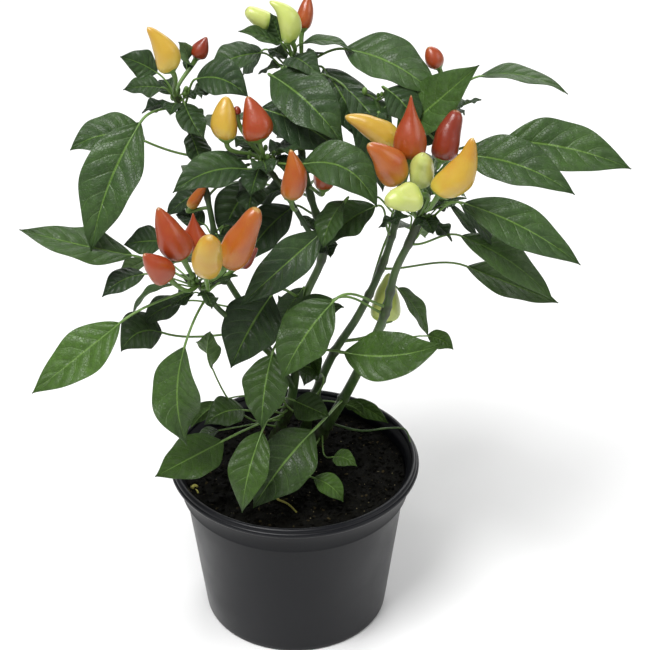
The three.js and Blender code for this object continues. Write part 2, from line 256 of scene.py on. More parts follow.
@dataclass(frozen=True)
class LeafFinish:
    """One face of a leaf: colours run from the dark to the fresh one by the leaf's own tone.

    Leaves low on the plant have their own pair of colours: warmer, and also darker as painted shade from the
    crown.
    """

    name: str
    dark: Colour
    fresh: Colour
    low_dark: Colour
    shaded_low_fresh: Colour
    vein: Colour
    roughness: float
    vein_show: float
    relief: float

    def build(self) -> bpy.types.Material:
        """Make the leaf material.

        Returns:
            A material that reads the leaf's UV map and its tone attribute.
        """
        desk = NodeDesk(self.name)
        uv = desk.node("ShaderNodeUVMap", uv_map="blade").outputs[0]
        split = desk.node("ShaderNodeSeparateXYZ")
        desk.feed(split.inputs[0], uv)
        along, across = split.outputs[0], split.outputs[1]
        side = desk.sum("GREATER_THAN", across, 0.5)
        off_rib = desk.sum("MULTIPLY", desk.sum("ABSOLUTE", desk.sum("SUBTRACT", across, 0.5)), 2.0)
        wander = desk.sum("MULTIPLY", desk.sum("SUBTRACT", desk.grain(90.0, 2.0), 0.5), 0.35)
        swept = desk.sum("MULTIPLY", desk.sum("POWER", off_rib, 1.25), VEIN_SWEEP)
        course = desk.sum("SUBTRACT", desk.sum("POWER", along, VEIN_SPREAD), swept)
        phase = desk.sum("MULTIPLY_ADD", course, VEINS, desk.sum("MULTIPLY", side, VEIN_STAGGER))
        phase = desk.sum("ADD", phase, wander)
        turn = desk.sum("ABSOLUTE", desk.sum("SUBTRACT", desk.sum("FRACT", phase), 0.5))
        near_vein = desk.sum("SUBTRACT", 0.5, turn)
        lateral = desk.band(near_vein, 0.0, 0.085, (1.0, 0.0))
        lateral = desk.sum("MULTIPLY", lateral, desk.band(off_rib, 0.55, 1.0, (1.0, 0.15)))
        rib_width = desk.sum("MULTIPLY_ADD", along, -0.03, 0.052)
        rib = desk.band(desk.sum("DIVIDE", off_rib, rib_width), 0.45, 1.25, (1.0, 0.0))
        net_place = desk.place((2.3, 1.0, 1.0), "UV")
        net = desk.node("ShaderNodeTexVoronoi", feature="DISTANCE_TO_EDGE")
        desk.feed(net.inputs["Vector"], net_place)
        desk.feed(net.inputs["Scale"], 17.0)
        fine = desk.band(net.outputs["Distance"], 0.0, 0.09, (1.0, 0.0))
        tone = desk.attribute("tone")
        patches = desk.band(desk.grain(55.0, 3.0), 0.3, 0.7)
        shift = desk.sum("MULTIPLY", desk.sum("SUBTRACT", patches, 0.5), 0.22)
        tone = desk.sum("ADD", tone, shift, clamp=True)
        # Low leaves blend towards their warmer colours, which are darker as painted shade from the crown.
        low = desk.attribute("low")
        dark, fresh = desk.blend(low, self.dark, self.low_dark), desk.blend(low, self.fresh, self.shaded_low_fresh)
        body = desk.blend(tone, dark, fresh)
        mottle = desk.band(desk.grain(420.0, 4.0), 0.35, 0.75, (0.82, 1.14))
        body = desk.blend(1.0, body, self._grey(desk, mottle), "MULTIPLY")
        body = desk.blend(desk.sum("MULTIPLY", fine, self.vein_show * 0.3), body, self.vein)
        body = desk.blend(desk.sum("MULTIPLY", lateral, self.vein_show), body, self.vein)
        body = desk.blend(desk.sum("MULTIPLY", rib, 0.9), body, self.vein)
        shine = desk.band(desk.grain(160.0, 3.0), 0.3, 0.7, (self.roughness - 0.06, self.roughness + 0.08))
        off_vein = desk.band(near_vein, 0.0, 0.5)
        pillow = desk.sum("MULTIPLY", off_vein, desk.band(off_rib, 0.9, 1.0, (1.0, 0.3)))
        height = desk.sum("ADD", desk.sum("MULTIPLY", lateral, -0.5), desk.sum("MULTIPLY", fine, -0.25))
        height = desk.sum("ADD", height, desk.sum("MULTIPLY", pillow, 0.55))
        height = desk.sum("ADD", height, desk.sum("MULTIPLY", desk.grain(230.0, 2.0), 0.8))
        height = desk.sum("ADD", height, desk.sum("MULTIPLY", desk.grain(900.0, 3.0), 0.25))
        desk.relief(height, 0.0004 * self.relief)
        return desk.surface(Base_Color=body, Roughness=shine, IOR=1.45, Specular_IOR_Level=0.42)

    @staticmethod
    def _grey(desk: NodeDesk, value: object) -> bpy.types.NodeSocket:
        """Turn one number into a grey colour.

        Args:
            desk: The material's desk.
            value: The number or socket.

        Returns:
            The colour's socket.
        """
        made = desk.node("ShaderNodeCombineColor")
        for socket in made.inputs[:3]:
            desk.feed(socket, value)
        return made.outputs[0]


@dataclass(frozen=True)
class StalkFinish:
    """Green stalks, stems and petioles, with pale streaks and darker, browner nodes."""

    name: str
    green: Colour
    streak: Colour
    bark: Colour
    roughness: float = 0.42

    def build(self) -> bpy.types.Material:
        """Make the stalk material, which reads how woody each part is from the mesh.

        Returns:
            The material.
        """
        desk = NodeDesk(self.name)
        lines = desk.band(desk.grain(260.0, 2.0, desk.place((1.0, 1.0, 0.12))), 0.42, 0.66)
        body = desk.blend(desk.sum("MULTIPLY", lines, 0.55), self.green, self.streak)
        body = desk.blend(desk.band(desk.grain(70.0, 3.0), 0.35, 0.75, (0.0, 0.3)), body, self.bark)
        woody = desk.sum("MULTIPLY", desk.attribute("woody"), desk.band(desk.grain(340.0), 0.25, 0.6))
        body = desk.blend(desk.sum("MULTIPLY", woody, 0.85), body, self.bark)
        desk.relief(desk.grain(700.0, 3.0, desk.place((1.0, 1.0, 0.25))), 0.0003)
        return desk.surface(Base_Color=body, Roughness=self.roughness)


@dataclass(frozen=True)
class SkinFinish:
    """A ripening fruit's waxy skin: one colour at the shoulder, one towards the tip, and a pale spike."""

    name: str
    shoulder: Colour
    body: Colour
    blush: Colour
    tip: Colour

    def build(self) -> bpy.types.Material:
        """Make the skin material, which reads the share of the fruit's length from the mesh.

        Returns:
            The material.
        """
        desk = NodeDesk(self.name)
        along = desk.attribute("along")
        soft = desk.sum("MULTIPLY", desk.sum("SUBTRACT", desk.grain(70.0, 3.0), 0.5), 0.5)
        ripe = desk.sum("ADD", along, soft)
        skin = desk.blend(desk.band(ripe, 0.02, 0.42), self.shoulder, self.body)
        cheeks = desk.band(desk.grain(48.0, 2.0), 0.44, 0.68)
        skin = desk.blend(desk.sum("MULTIPLY", cheeks, 0.75), skin, self.blush)
        flecks = desk.band(desk.grain(1500.0, 2.0), 0.6, 0.72, (0.0, 0.22))
        skin = desk.blend(flecks, skin, self.shoulder)
        skin = desk.blend(desk.band(along, 0.955, 0.99), skin, self.tip)
        shine = desk.band(desk.grain(120.0, 3.0), 0.3, 0.7, (0.3, 0.42))
        height = desk.sum("ADD", desk.grain(240.0, 2.0), desk.sum("MULTIPLY", desk.grain(1800.0, 2.0), 0.12))
        desk.relief(height, 0.00035)
        radius = tuple(max(0.05, channel) for channel in self.body)
        return desk.surface(
            Base_Color=skin,
            Roughness=shine,
            Subsurface_Weight=0.18,
            Subsurface_Radius=radius,
            Subsurface_Scale=0.003,
            Coat_Weight=0.3,
            Coat_Roughness=0.2,
        )


@dataclass(frozen=True)
class PlasticFinish:
    """Thin black moulded plastic with a satin skin and faint scuffs."""

    name: str
    colour: Colour
    roughness: float

    def build(self) -> bpy.types.Material:
        """Make the plastic material.

        Returns:
            The material.
        """
        desk = NodeDesk(self.name)
        scuffs = desk.band(desk.grain(90.0, 6.0, desk.place((1.0, 1.0, 0.35)), 0.7), 0.5, 0.8)
        worn = tuple(channel * 1.9 for channel in self.colour)
        body = desk.blend(desk.sum("MULTIPLY", scuffs, 0.25), self.colour, worn)
        dust = desk.band(desk.grain(1300.0, 2.0), 0.68, 0.76, (0.0, 0.2))
        body = desk.blend(dust, body, (0.09, 0.085, 0.08))
        shine = desk.band(desk.grain(35.0, 4.0), 0.3, 0.7, (self.roughness - 0.05, self.roughness + 0.06))
        desk.relief(desk.grain(2200.0, 2.0), 0.00005)
        return desk.surface(Base_Color=body, Roughness=shine, IOR=1.5, Specular_IOR_Level=0.22)


@dataclass(frozen=True)
class EarthFinish:
    """Crumbs and chips: one matt colour broken up by grain."""

    name: str
    low: Colour
    high: Colour
    roughness: float = 0.85

    def build(self) -> bpy.types.Material:
        """Make the crumb material.

        Returns:
            The material.
        """
        desk = NodeDesk(self.name)
        mixed = desk.band(desk.grain(600.0, 5.0, rough=0.7), 0.35, 0.7)
        body = desk.blend(mixed, self.low, self.high)
        damp = desk.band(desk.grain(180.0, 3.0), 0.35, 0.65, (self.roughness - 0.3, self.roughness))
        desk.relief(desk.grain(1500.0, 5.0, rough=0.7), 0.0006)
        return desk.surface(Base_Color=body, Roughness=damp, Specular_IOR_Level=0.08)


class Form(Enum):
    """A fruit's outline: pairs of the share of its length and the share of its largest radius."""

    CONE = (
        (0, 0), (0.004, 0.3), (0.03, 0.62), (0.1, 0.89), (0.22, 1), (0.38, 0.97), (0.55, 0.81), (0.7, 0.62),
        (0.83, 0.42), (0.92, 0.26), (0.975, 0.14), (1, 0),
    )
    EGG = (
        (0, 0), (0.004, 0.3), (0.04, 0.64), (0.12, 0.87), (0.28, 1), (0.46, 0.98), (0.64, 0.86), (0.79, 0.67),
        (0.9, 0.45), (0.965, 0.25), (1, 0),
    )
    FINGER = (
        (0, 0), (0.004, 0.3), (0.04, 0.68), (0.12, 0.91), (0.24, 1), (0.42, 0.95), (0.6, 0.83), (0.76, 0.69),
        (0.88, 0.55), (0.95, 0.39), (0.985, 0.22), (1, 0),
    )
    SPIKE = (
        (0, 0), (0.004, 0.3), (0.03, 0.62), (0.1, 0.91), (0.22, 1), (0.38, 0.93), (0.52, 0.73), (0.66, 0.47),
        (0.78, 0.28), (0.88, 0.15), (0.96, 0.08), (1, 0),
    )
    HORN = (
        (0, 0), (0.004, 0.35), (0.04, 0.72), (0.13, 0.95), (0.26, 1), (0.42, 0.92), (0.58, 0.76),
        (0.74, 0.56), (0.87, 0.38), (0.95, 0.22), (1, 0),
    )


class Ripeness(Enum):
    """How far a fruit has ripened, each stage with a colour name as its value."""

    PALE = "fruit_pale"
    YELLOW = "fruit_yellow"
    ORANGE = "fruit_orange"
    VERMILION = "fruit_vermilion"
    RED = "fruit_red"


SKINS = {
    Ripeness.PALE: SkinFinish(
        "skin_pale", (0.36, 0.5, 0.08), (0.52, 0.57, 0.17), (0.46, 0.53, 0.12), (0.4, 0.42, 0.12)
    ),
    Ripeness.YELLOW: SkinFinish(
        "skin_yellow", (0.5, 0.38, 0.05), (0.5, 0.31, 0.032), (0.47, 0.2, 0.015), (0.5, 0.36, 0.12)
    ),
    Ripeness.ORANGE: SkinFinish(
        "skin_orange", (0.42, 0.22, 0.018), (0.38, 0.095, 0.008), (0.32, 0.05, 0.006), (0.42, 0.24, 0.07)
    ),
    Ripeness.VERMILION: SkinFinish(
        "skin_vermilion", (0.3, 0.06, 0.007), (0.3, 0.04, 0.006), (0.36, 0.08, 0.008), (0.34, 0.16, 0.05)
    ),
    Ripeness.RED: SkinFinish(
        "skin_red", (0.17, 0.02, 0.005), (0.2, 0.018, 0.004), (0.25, 0.035, 0.006), (0.26, 0.09, 0.035)
    ),
}

# The third and fourth colours of each face are the low leaves': warmer, and darker as painted shade from the
# crown.
LEAF_TOP = LeafFinish(
    "leaf_top",
    (0.018, 0.042, 0.013), (0.065, 0.14, 0.02), (0.007, 0.022, 0.002), (0.05, 0.115, 0.008),
    (0.12, 0.22, 0.04),
    0.41, 0.15, 1.0,
)
LEAF_UNDER = LeafFinish(
    "leaf_underside",
    (0.07, 0.125, 0.04), (0.11, 0.2, 0.05), (0.055, 0.11, 0.025), (0.1, 0.19, 0.035), (0.2, 0.31, 0.09),
    0.62, 0.4, -0.8,
)
PETIOLE = StalkFinish("petiole", (0.1, 0.19, 0.035), (0.17, 0.29, 0.065), (0.06, 0.1, 0.022))
STEM = StalkFinish("stem", (0.03, 0.07, 0.013), (0.075, 0.13, 0.03), (0.022, 0.02, 0.011))
POT_PLASTIC = PlasticFinish("pot_plastic", (0.0042, 0.0046, 0.0065), 0.34)
SOIL = EarthFinish("soil", (0.0006, 0.0006, 0.0004), (0.0055, 0.005, 0.003), 0.95)
GRIT = EarthFinish("grit", (0.06, 0.05, 0.025), (0.3, 0.26, 0.15))
BARK = EarthFinish("bark_chips", (0.012, 0.009, 0.004), (0.055, 0.042, 0.016))
DRY = EarthFinish("dry_stalk", (0.3, 0.28, 0.06), (0.42, 0.4, 0.12), 0.7)


class Wardrobe:
    """Builds each finish once and hands out its material."""

    def __init__(self) -> None:
        """Start with no materials."""
        self._made: dict[str, bpy.types.Material] = {}

    def get(self, finish: object) -> bpy.types.Material:
        """Give the material of a finish, made on first use.

        Args:
            finish: The finish.

        Returns:
            Its material.
        """
        if finish.name not in self._made:
            self._made[finish.name] = finish.build()
        return self._made[finish.name]


WARDROBE = Wardrobe()


# ---------------------------------------------------------------------------------------------------------
# Shaping tools
# ---------------------------------------------------------------------------------------------------------


def finished_piece(
    bm: bmesh.types.BMesh, name: str, finishes: list[object], stands_for: str = ""
) -> bpy.types.Object:
    """Turn a shaped bmesh into a dressed piece that rides on the plant's body.

    Args:
        bm: The shape, which is freed.
        name: The piece's name.
        finishes: One finish for each material index.
        stands_for: The frame's node that this piece replaces, if it is there.

    Returns:
        The new object.
    """
    mesh = bpy.data.meshes.new(name)
    bm.to_mesh(mesh)
    bm.free()
    mesh.shade_smooth()
    mesh.set_sharp_from_angle(angle=math.radians(55))
    for finish in finishes:
        mesh.materials.append(WARDROBE.get(finish))
    piece = bpy.data.objects.new(name, mesh)
    bpy.context.scene.collection.objects.link(piece)
    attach(piece, BODY)
    if stands_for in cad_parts:
        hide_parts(stands_for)
    LOG.info("%s: %d faces", name, len(mesh.polygons))
    return piece


def carried_frames(path: list[Vector]) -> list[Matrix]:
    """Carry a frame along a path without twisting it.

    Args:
        path: The points of the path.

    Returns:
        One matrix for each point, whose Z axis follows the path.
    """
    frames = []
    heading = (path[1] - path[0]).normalized()
    across = heading.orthogonal().normalized()
    for index, point in enumerate(path):
        before = path[max(index - 1, 0)]
        after = path[min(index + 1, len(path) - 1)]
        heading = (after - before).normalized()
        across = (across - heading * across.dot(heading)).normalized()
        other = heading.cross(across)
        turn = Matrix((across, other, heading)).transposed().to_4x4()
        frames.append(Matrix.Translation(point) @ turn)
    return frames


def sweep_tube(
    bm: bmesh.types.BMesh, path: list[Vector], radii: list[float], sides: int, woody: list[float]
) -> list[bmesh.types.BMFace]:
    """Extrude a round section along a path, closed at both ends.

    Args:
        bm: The mesh to add to.
        path: The points of the centre line.
        radii: The radius at each point.
        sides: The number of sides.
        woody: How brown and barky the skin is at each point, from 0 to 1.

    Returns:
        The new faces.
    """
    bark = bm.verts.layers.float.get("woody") or bm.verts.layers.float.new("woody")
    places = [frame_ @ Matrix.Scale(radius, 4) for frame_, radius in zip(carried_frames(path), radii)]
    start = bmesh.ops.create_circle(bm, cap_ends=True, radius=1.0, segments=sides, matrix=places[0])
    ring = start["verts"]
    faces = list(ring[0].link_faces)
    edges = list({edge for vert in ring for edge in vert.link_edges})
    for vert in ring:
        vert[bark] = woody[0]
    for (before, after), share in zip(pairwise(places), woody[1:]):
        grown = bmesh.ops.extrude_edge_only(bm, edges=edges)["geom"]
        ring = [part for part in grown if isinstance(part, bmesh.types.BMVert)]
        edges = [part for part in grown if isinstance(part, bmesh.types.BMEdge)]
        faces += [part for part in grown if isinstance(part, bmesh.types.BMFace)]
        bmesh.ops.transform(bm, matrix=after @ before.inverted(), verts=ring)
        for vert in ring:
            vert[bark] = share
    faces += bmesh.ops.contextual_create(bm, geom=edges)["faces"]
    bmesh.ops.recalc_face_normals(bm, faces=faces)
    return faces


def spin_profile(
    bm: bmesh.types.BMesh, profile: list[tuple[float, float]], steps: int, closed: bool = False
) -> list[bmesh.types.BMVert]:
    """Spin a profile of radius and height points around Z into a closed shape.

    Args:
        bm: The mesh to add to.
        profile: The points, which start and end on the axis or, if closed, join into a loop.
        steps: The steps of the full turn.
        closed: Whether the last point joins the first.

    Returns:
        The vertices of the new shape.
    """
    before = set(bm.verts)
    points = [bm.verts.new((radius, 0.0, height)) for radius, height in profile]
    links = [bm.edges.new(pair) for pair in pairwise(points)]
    if closed:
        links.append(bm.edges.new((points[-1], points[0])))
    bmesh.ops.spin(
        bm,
        geom=points + links,
        axis=UP,
        cent=(0, 0, 0),
        dvec=(0, 0, 0),
        angle=math.tau,
        steps=steps,
        use_merge=True,
    )
    made = [vert for vert in bm.verts if vert not in before]
    bmesh.ops.remove_doubles(bm, verts=made, dist=1e-7)
    made = [vert for vert in bm.verts if vert not in before]
    faces = list({face for vert in made for face in vert.link_faces})
    bmesh.ops.recalc_face_normals(bm, faces=faces)
    return made


class Curve:
    """A smooth course through a few given points, measured by its length."""

    def __init__(self, points: list[Vector], fineness: int = 12) -> None:
        """Draw the course.

        Args:
            points: The points it passes through.
            fineness: The steps between two points.
        """
        ends = [points[0] * 2 - points[1], *points, points[-1] * 2 - points[-2]]
        self.points = []
        for index in range(len(points) - 1):
            for step in range(fineness):
                self.points.append(self._between(ends[index:index + 4], step / fineness))
        self.points.append(points[-1].copy())
        self.marks = [0.0]
        for before, after in pairwise(self.points):
            self.marks.append(self.marks[-1] + (after - before).length)
        self.length = self.marks[-1]

    @staticmethod
    def _between(four: list[Vector], t: float) -> Vector:
        """Give a Catmull-Rom point between the middle two of four points.

        Args:
            four: The four points.
            t: The share of the way from the second to the third.

        Returns:
            The point.
        """
        a, b, c, d = four
        square = (2 * a - 5 * b + 4 * c - d) * t * t
        return 0.5 * (2 * b + (c - a) * t + square + (3 * b - a - 3 * c + d) * t**3)

    def at(self, share: float) -> Vector:
        """Give the point at a share of the length.

        Args:
            share: The share of the length, from 0 to 1.

        Returns:
            The point in metres.
        """
        goal = min(max(share, 0.0), 1.0) * self.length
        for index, (low, high) in enumerate(pairwise(self.marks)):
            if goal <= high:
                part = (goal - low) / max(high - low, 1e-12)
                return self.points[index].lerp(self.points[index + 1], part)
        return self.points[-1].copy()

    def heading(self, share: float) -> Vector:
        """Give the direction at a share of the length."""
        step = 0.01
        return (self.at(share + step) - self.at(share - step)).normalized()


def bezier(start: Vector, leave: Vector, arrive: Vector, end: Vector, count: int) -> list[Vector]:
    """Give evenly stepped points of a cubic curve.

    Args:
        start: The first point.
        leave: The handle of the start.
        arrive: The handle of the end.
        end: The last point.
        count: The number of steps.

    Returns:
        The points.
    """
    points = []
    for step in range(count + 1):
        t = step / count
        s = 1 - t
        points.append(start * s**3 + leave * (3 * s * s * t) + arrive * (3 * s * t * t) + end * t**3)
    return points


# ---------------------------------------------------------------------------------------------------------
# Stems
# ---------------------------------------------------------------------------------------------------------


@dataclass
class Stem:
    """A stem or side branch: its course from foot to top, and its radius at both."""

    name: str
    course: tuple[Place, ...]
    foot: float
    top: float
    bury: float = 0.0

    def __post_init__(self) -> None:
        """Draw the course."""
        self.curve = Curve([metres(place) for place in self.course])
        self.joints: list[float] = []

    def radius(self, share: float) -> float:
        """Give the radius at a share of the length, in metres."""
        return (self.foot + (self.top - self.foot) * share) * MM

    def _swelling(self, off: float) -> float:
        """Give how much of a joint's swelling is left at a share of the length away from it."""
        return math.exp(-((off * self.curve.length / JOINT_REACH) ** 2))

    def shape(self, bm: bmesh.types.BMesh) -> None:
        """Sweep the stem, swollen and browner at each joint where a leaf leaves it.

        Args:
            bm: The mesh to add to.
        """
        count = int(self.curve.length / (1.6 * MM))
        shares = [step / count for step in range(count + 1)]
        path = [self.curve.at(share) for share in shares]
        if self.bury:
            down = -self.curve.heading(0.0)
            path.insert(0, path[0] + down * self.bury * MM)
            shares.insert(0, 0.0)
        radii, woody = [], []
        for share in shares:
            swell = sum(self._swelling(share - joint) for joint in self.joints)
            foot_flare = 0.35 * math.exp(-share * self.curve.length / (5 * MM)) if self.bury else 0.0
            radii.append(self.radius(share) * (1 + 0.28 * min(swell, 1.0) + foot_flare))
            low_bark = 0.9 * math.exp(-share * self.curve.length / (16 * MM)) if self.bury else 0.0
            woody.append(min(1.0, 0.75 * min(swell, 1.0) + low_bark))
        sweep_tube(bm, path, radii, 14, woody)


STEMS = {
    stem.name: stem
    for stem in (
        Stem(
            "right",
            ((12, 20, 88), (25, 10, 120), (35, 0, 150), (45, -5, 180), (50, -5, 205),
             (58, -5, 225), (65, 0, 245), (70, 15, 260), (75, 35, 275)),
            2.9, 1.3, 6,
        ),
        Stem(
            "middle",
            ((5, 28, 88), (10, 20, 115), (20, 15, 145), (32, 10, 170), (42, 8, 195),
             (48, 8, 215), (52, 12, 235), (50, 20, 255), (40, 30, 280)),
            2.6, 1.2, 6,
        ),
        Stem(
            "centre",
            ((-10, 24, 88), (-2, 18, 115), (2, 12, 150), (5, 8, 180), (14, 6, 205),
             (14, 8, 220), (8, 14, 240), (2, 30, 270), (0, 42, 295)),
            2.8, 1.2, 6,
        ),
        Stem(
            "left",
            ((-1, 15, 125), (-12, 6, 152), (-25, 0, 183), (-35, 3, 203), (-40, 10, 230),
             (-46, 16, 260), (-55, 18, 287)),
            2.0, 1.1,
        ),
        Stem(
            "lower",
            ((-11, 7, 149), (-22, -9, 172), (-35, -20, 192), (-45, -30, 214)),
            1.7, 1.2,
        ),
        Stem("inner", ((14, 6, 210), (5, 0, 230), (-5, -2, 250), (-15, 2, 262)), 1.5, 1.1),
    )
}


def stalk_course(stem: Stem, at: float, end: Vector, arrive: Vector, count: int) -> list[Vector]:
    """Draw a petiole's or fruit stalk's centre line from inside its stem.

    Args:
        stem: The stem it grows from.
        at: The share of the stem's length where it leaves.
        end: Where it ends.
        arrive: The direction in which it ends.
        count: The number of steps.

    Returns:
        The points of the centre line.
    """
    joint = stem.curve.at(at)
    along = stem.curve.heading(at)
    out = (end - joint).normalized()
    across = (out - along * out.dot(along)).normalized()
    leave = (across + along * 0.35).normalized() if at < 0.99 else along
    start = joint + across * stem.radius(at) * 0.3 if at < 0.99 else joint - along * 0.5 * MM
    reach = (end - start).length / 3
    return bezier(start, start + leave * reach, end - arrive * reach, end, count)


# ---------------------------------------------------------------------------------------------------------
# Leaves
# ---------------------------------------------------------------------------------------------------------


def blade_shape(u: float) -> float:
    """Give the share of the full half width at a share of the blade's length.

    Args:
        u: The share of the blade's length.

    Returns:
        The share of the half width.
    """
    fall = WIDENING * (1 - WIDEST) / WIDEST
    peak = WIDEST**WIDENING * (1 - WIDEST) ** fall
    return (u**WIDENING * (1 - u) ** fall) / peak


@dataclass
class Leaf:
    """A leaf: the places of its blade's base and tip, and how it arches, sways, rolls and colours.

    The midrib arches up and sways to its right by so many millimetres, and the roll is in degrees about the
    midrib. The tone runs from 0, old and dark, to 1, fresh green.
    """

    name: str
    stem: str
    at: float
    base: Place
    tip: Place
    arch: float
    sway: float
    width: float
    roll: float
    tone: float = 0.3
    quilt: float = 1.0
    wave: float = 1.0
    fold: float = 0.28

    def __post_init__(self) -> None:
        """Work out the midrib."""
        self.rng = random.Random(f"{SEED} {self.name}")
        start, end = metres(self.base), metres(self.tip)
        chord = (end - start).normalized()
        level = chord.cross(UP).normalized()
        above = level.cross(chord)
        middle = (start + end) / 2 + above * (2 * self.arch * MM) + level * (2 * self.sway * MM)
        self.ends = (start, middle, end)
        self.twist = self.rng.uniform(-14, 14)
        self.wave_count = self.rng.uniform(1.3, 2.3)
        self.lean = self.rng.uniform(-0.07, 0.07)
        self.nicks = self.rng.uniform(13, 22)
        self.wave_turn = (self.rng.uniform(0, math.tau), self.rng.uniform(0, math.tau))
        STEMS[self.stem].joints.append(self.at)

    def rib(self, u: float) -> tuple[Vector, Vector, Vector, Vector]:
        """Give the midrib's point, heading, right-hand side and upper normal at a share of the blade.

        Args:
            u: The share of the blade's length.

        Returns:
            The point, the heading, the side and the normal.
        """
        start, middle, end = self.ends
        point = start * (1 - u) ** 2 + middle * (2 * u * (1 - u)) + end * u**2
        heading = ((middle - start) * (1 - u) + (end - middle) * u).normalized()
        flat = heading.cross(UP).normalized()
        over = flat.cross(heading)
        turn = math.radians(self.roll + self.twist * (u - 0.5))
        side = flat * math.cos(turn) + over * math.sin(turn)
        return point, heading, side, side.cross(heading)

    def skin(self, u: float, v: float) -> Vector:
        """Give the place of the upper surface.

        Args:
            u: The share of the blade's length.
            v: The share of the half width, positive to the left of the midrib.

        Returns:
            The place in metres.
        """
        point, _, side, normal = self.rib(u)
        off = abs(v)
        uneven = EDGE_DEPTH * math.sin(self.nicks * u + 2 * self.wave_turn[v > 0])
        outline = 1 + self.lean * math.copysign(1, v) + uneven
        half = max(self.width / 2 * blade_shape(u) * (outline if v else 1.0), 0.25)
        rise = half * (math.sin(self.fold) * off - 0.13 * off * off)
        wave = math.sin(math.tau * self.wave_count * u + self.wave_turn[v > 0])
        rise += 0.05 * self.width * self.wave * off**2 * wave * math.sin(math.pi * u)
        phase = VEINS * (u**VEIN_SPREAD - VEIN_SWEEP * off**1.25) + (VEIN_STAGGER if v > 0 else 0.0)
        swell = math.sin(math.pi * (phase % 1.0)) ** 0.8
        middle_of_half = min(off / 0.15, 1.0) * (1 - off**3)
        rise += 0.016 * self.width * self.quilt * swell * middle_of_half * math.sin(math.pi * u) ** 0.5
        rise -= 0.3 * math.exp(-((v * half / 0.6) ** 2)) * (1 - u)
        return point + (side * (-v * half * math.cos(self.fold * 0.8)) + normal * rise) * MM

    def build(self) -> bpy.types.Object:
        """Build the blade and its petiole as one piece.

        Returns:
            The new piece.
        """
        bm = bmesh.new()
        self._blade(bm)
        self._petiole(bm)
        node = f"leaf_{self.name}"
        return finished_piece(bm, f"{self.name}_leaf", [LEAF_TOP, LEAF_UNDER, PETIOLE], node)

    def _blade(self, bm: bmesh.types.BMesh) -> None:
        """Shape a grid into the blade and give it thickness.

        Args:
            bm: The mesh to add to.
        """
        small = self.width < 15
        long_steps, wide_steps = (30, 12) if small else (48, 16)
        bm.loops.layers.uv.new("blade")
        tone = bm.verts.layers.float.new("tone")
        low = bm.verts.layers.float.new("low")
        made = bmesh.ops.create_grid(
            bm, x_segments=long_steps, y_segments=wide_steps, size=0.5, calc_uvs=True
        )
        for vert in made["verts"]:
            u = vert.co.x + 0.5
            vert.co = self.skin(min(max(u, 0.004), 0.996), 2 * vert.co.y)
        faces = list(bm.faces)
        bmesh.ops.recalc_face_normals(bm, faces=faces)
        if faces[len(faces) // 2].normal.dot(self.rib(0.5)[3]) < 0:
            bmesh.ops.reverse_faces(bm, faces=faces)
        shell = bmesh.ops.solidify(bm, geom=faces, thickness=0.3 * MM)["geom"]
        upper = set(faces)
        for part in shell:
            if isinstance(part, bmesh.types.BMFace) and part not in upper:
                part.material_index = 1
        # The low share, from the blade's height, gives it warmer colours that are darker as painted shade
        # from the crown above.
        height = self.base[2]
        for vert in bm.verts:
            vert[tone] = self.tone
            vert[low] = min(max((LOW_SHADE_HEIGHTS[1] - height) / (LOW_SHADE_HEIGHTS[1] - LOW_SHADE_HEIGHTS[0]), 0.0), 1.0)

    def _petiole(self, bm: bmesh.types.BMesh) -> None:
        """Sweep the petiole, which runs on under the blade as its midrib.

        Args:
            bm: The mesh to add to.
        """
        stem = STEMS[self.stem]
        start, middle, _ = self.ends
        path = stalk_course(stem, self.at, start, (middle - start).normalized(), 12)
        thick = 0.26 + 0.015 * self.width
        radii = [thick * (1.0 + 0.45 * math.exp(-step * 0.9)) * MM for step in range(13)]
        rib_steps = 16
        for step in range(1, rib_steps + 1):
            u = 0.95 * step / rib_steps
            point, _, _, normal = self.rib(u)
            radius = thick * (1 - 0.82 * u**0.7)
            path.append(point - normal * (0.5 + radius * 0.35 * min(1.0, 4 * u)) * MM)
            radii.append(radius * MM)
        woody = [0.5 * math.exp(-step * 0.8) for step in range(len(path))]
        for face in sweep_tube(bm, path, radii, 8, woody):
            face.material_index = 2


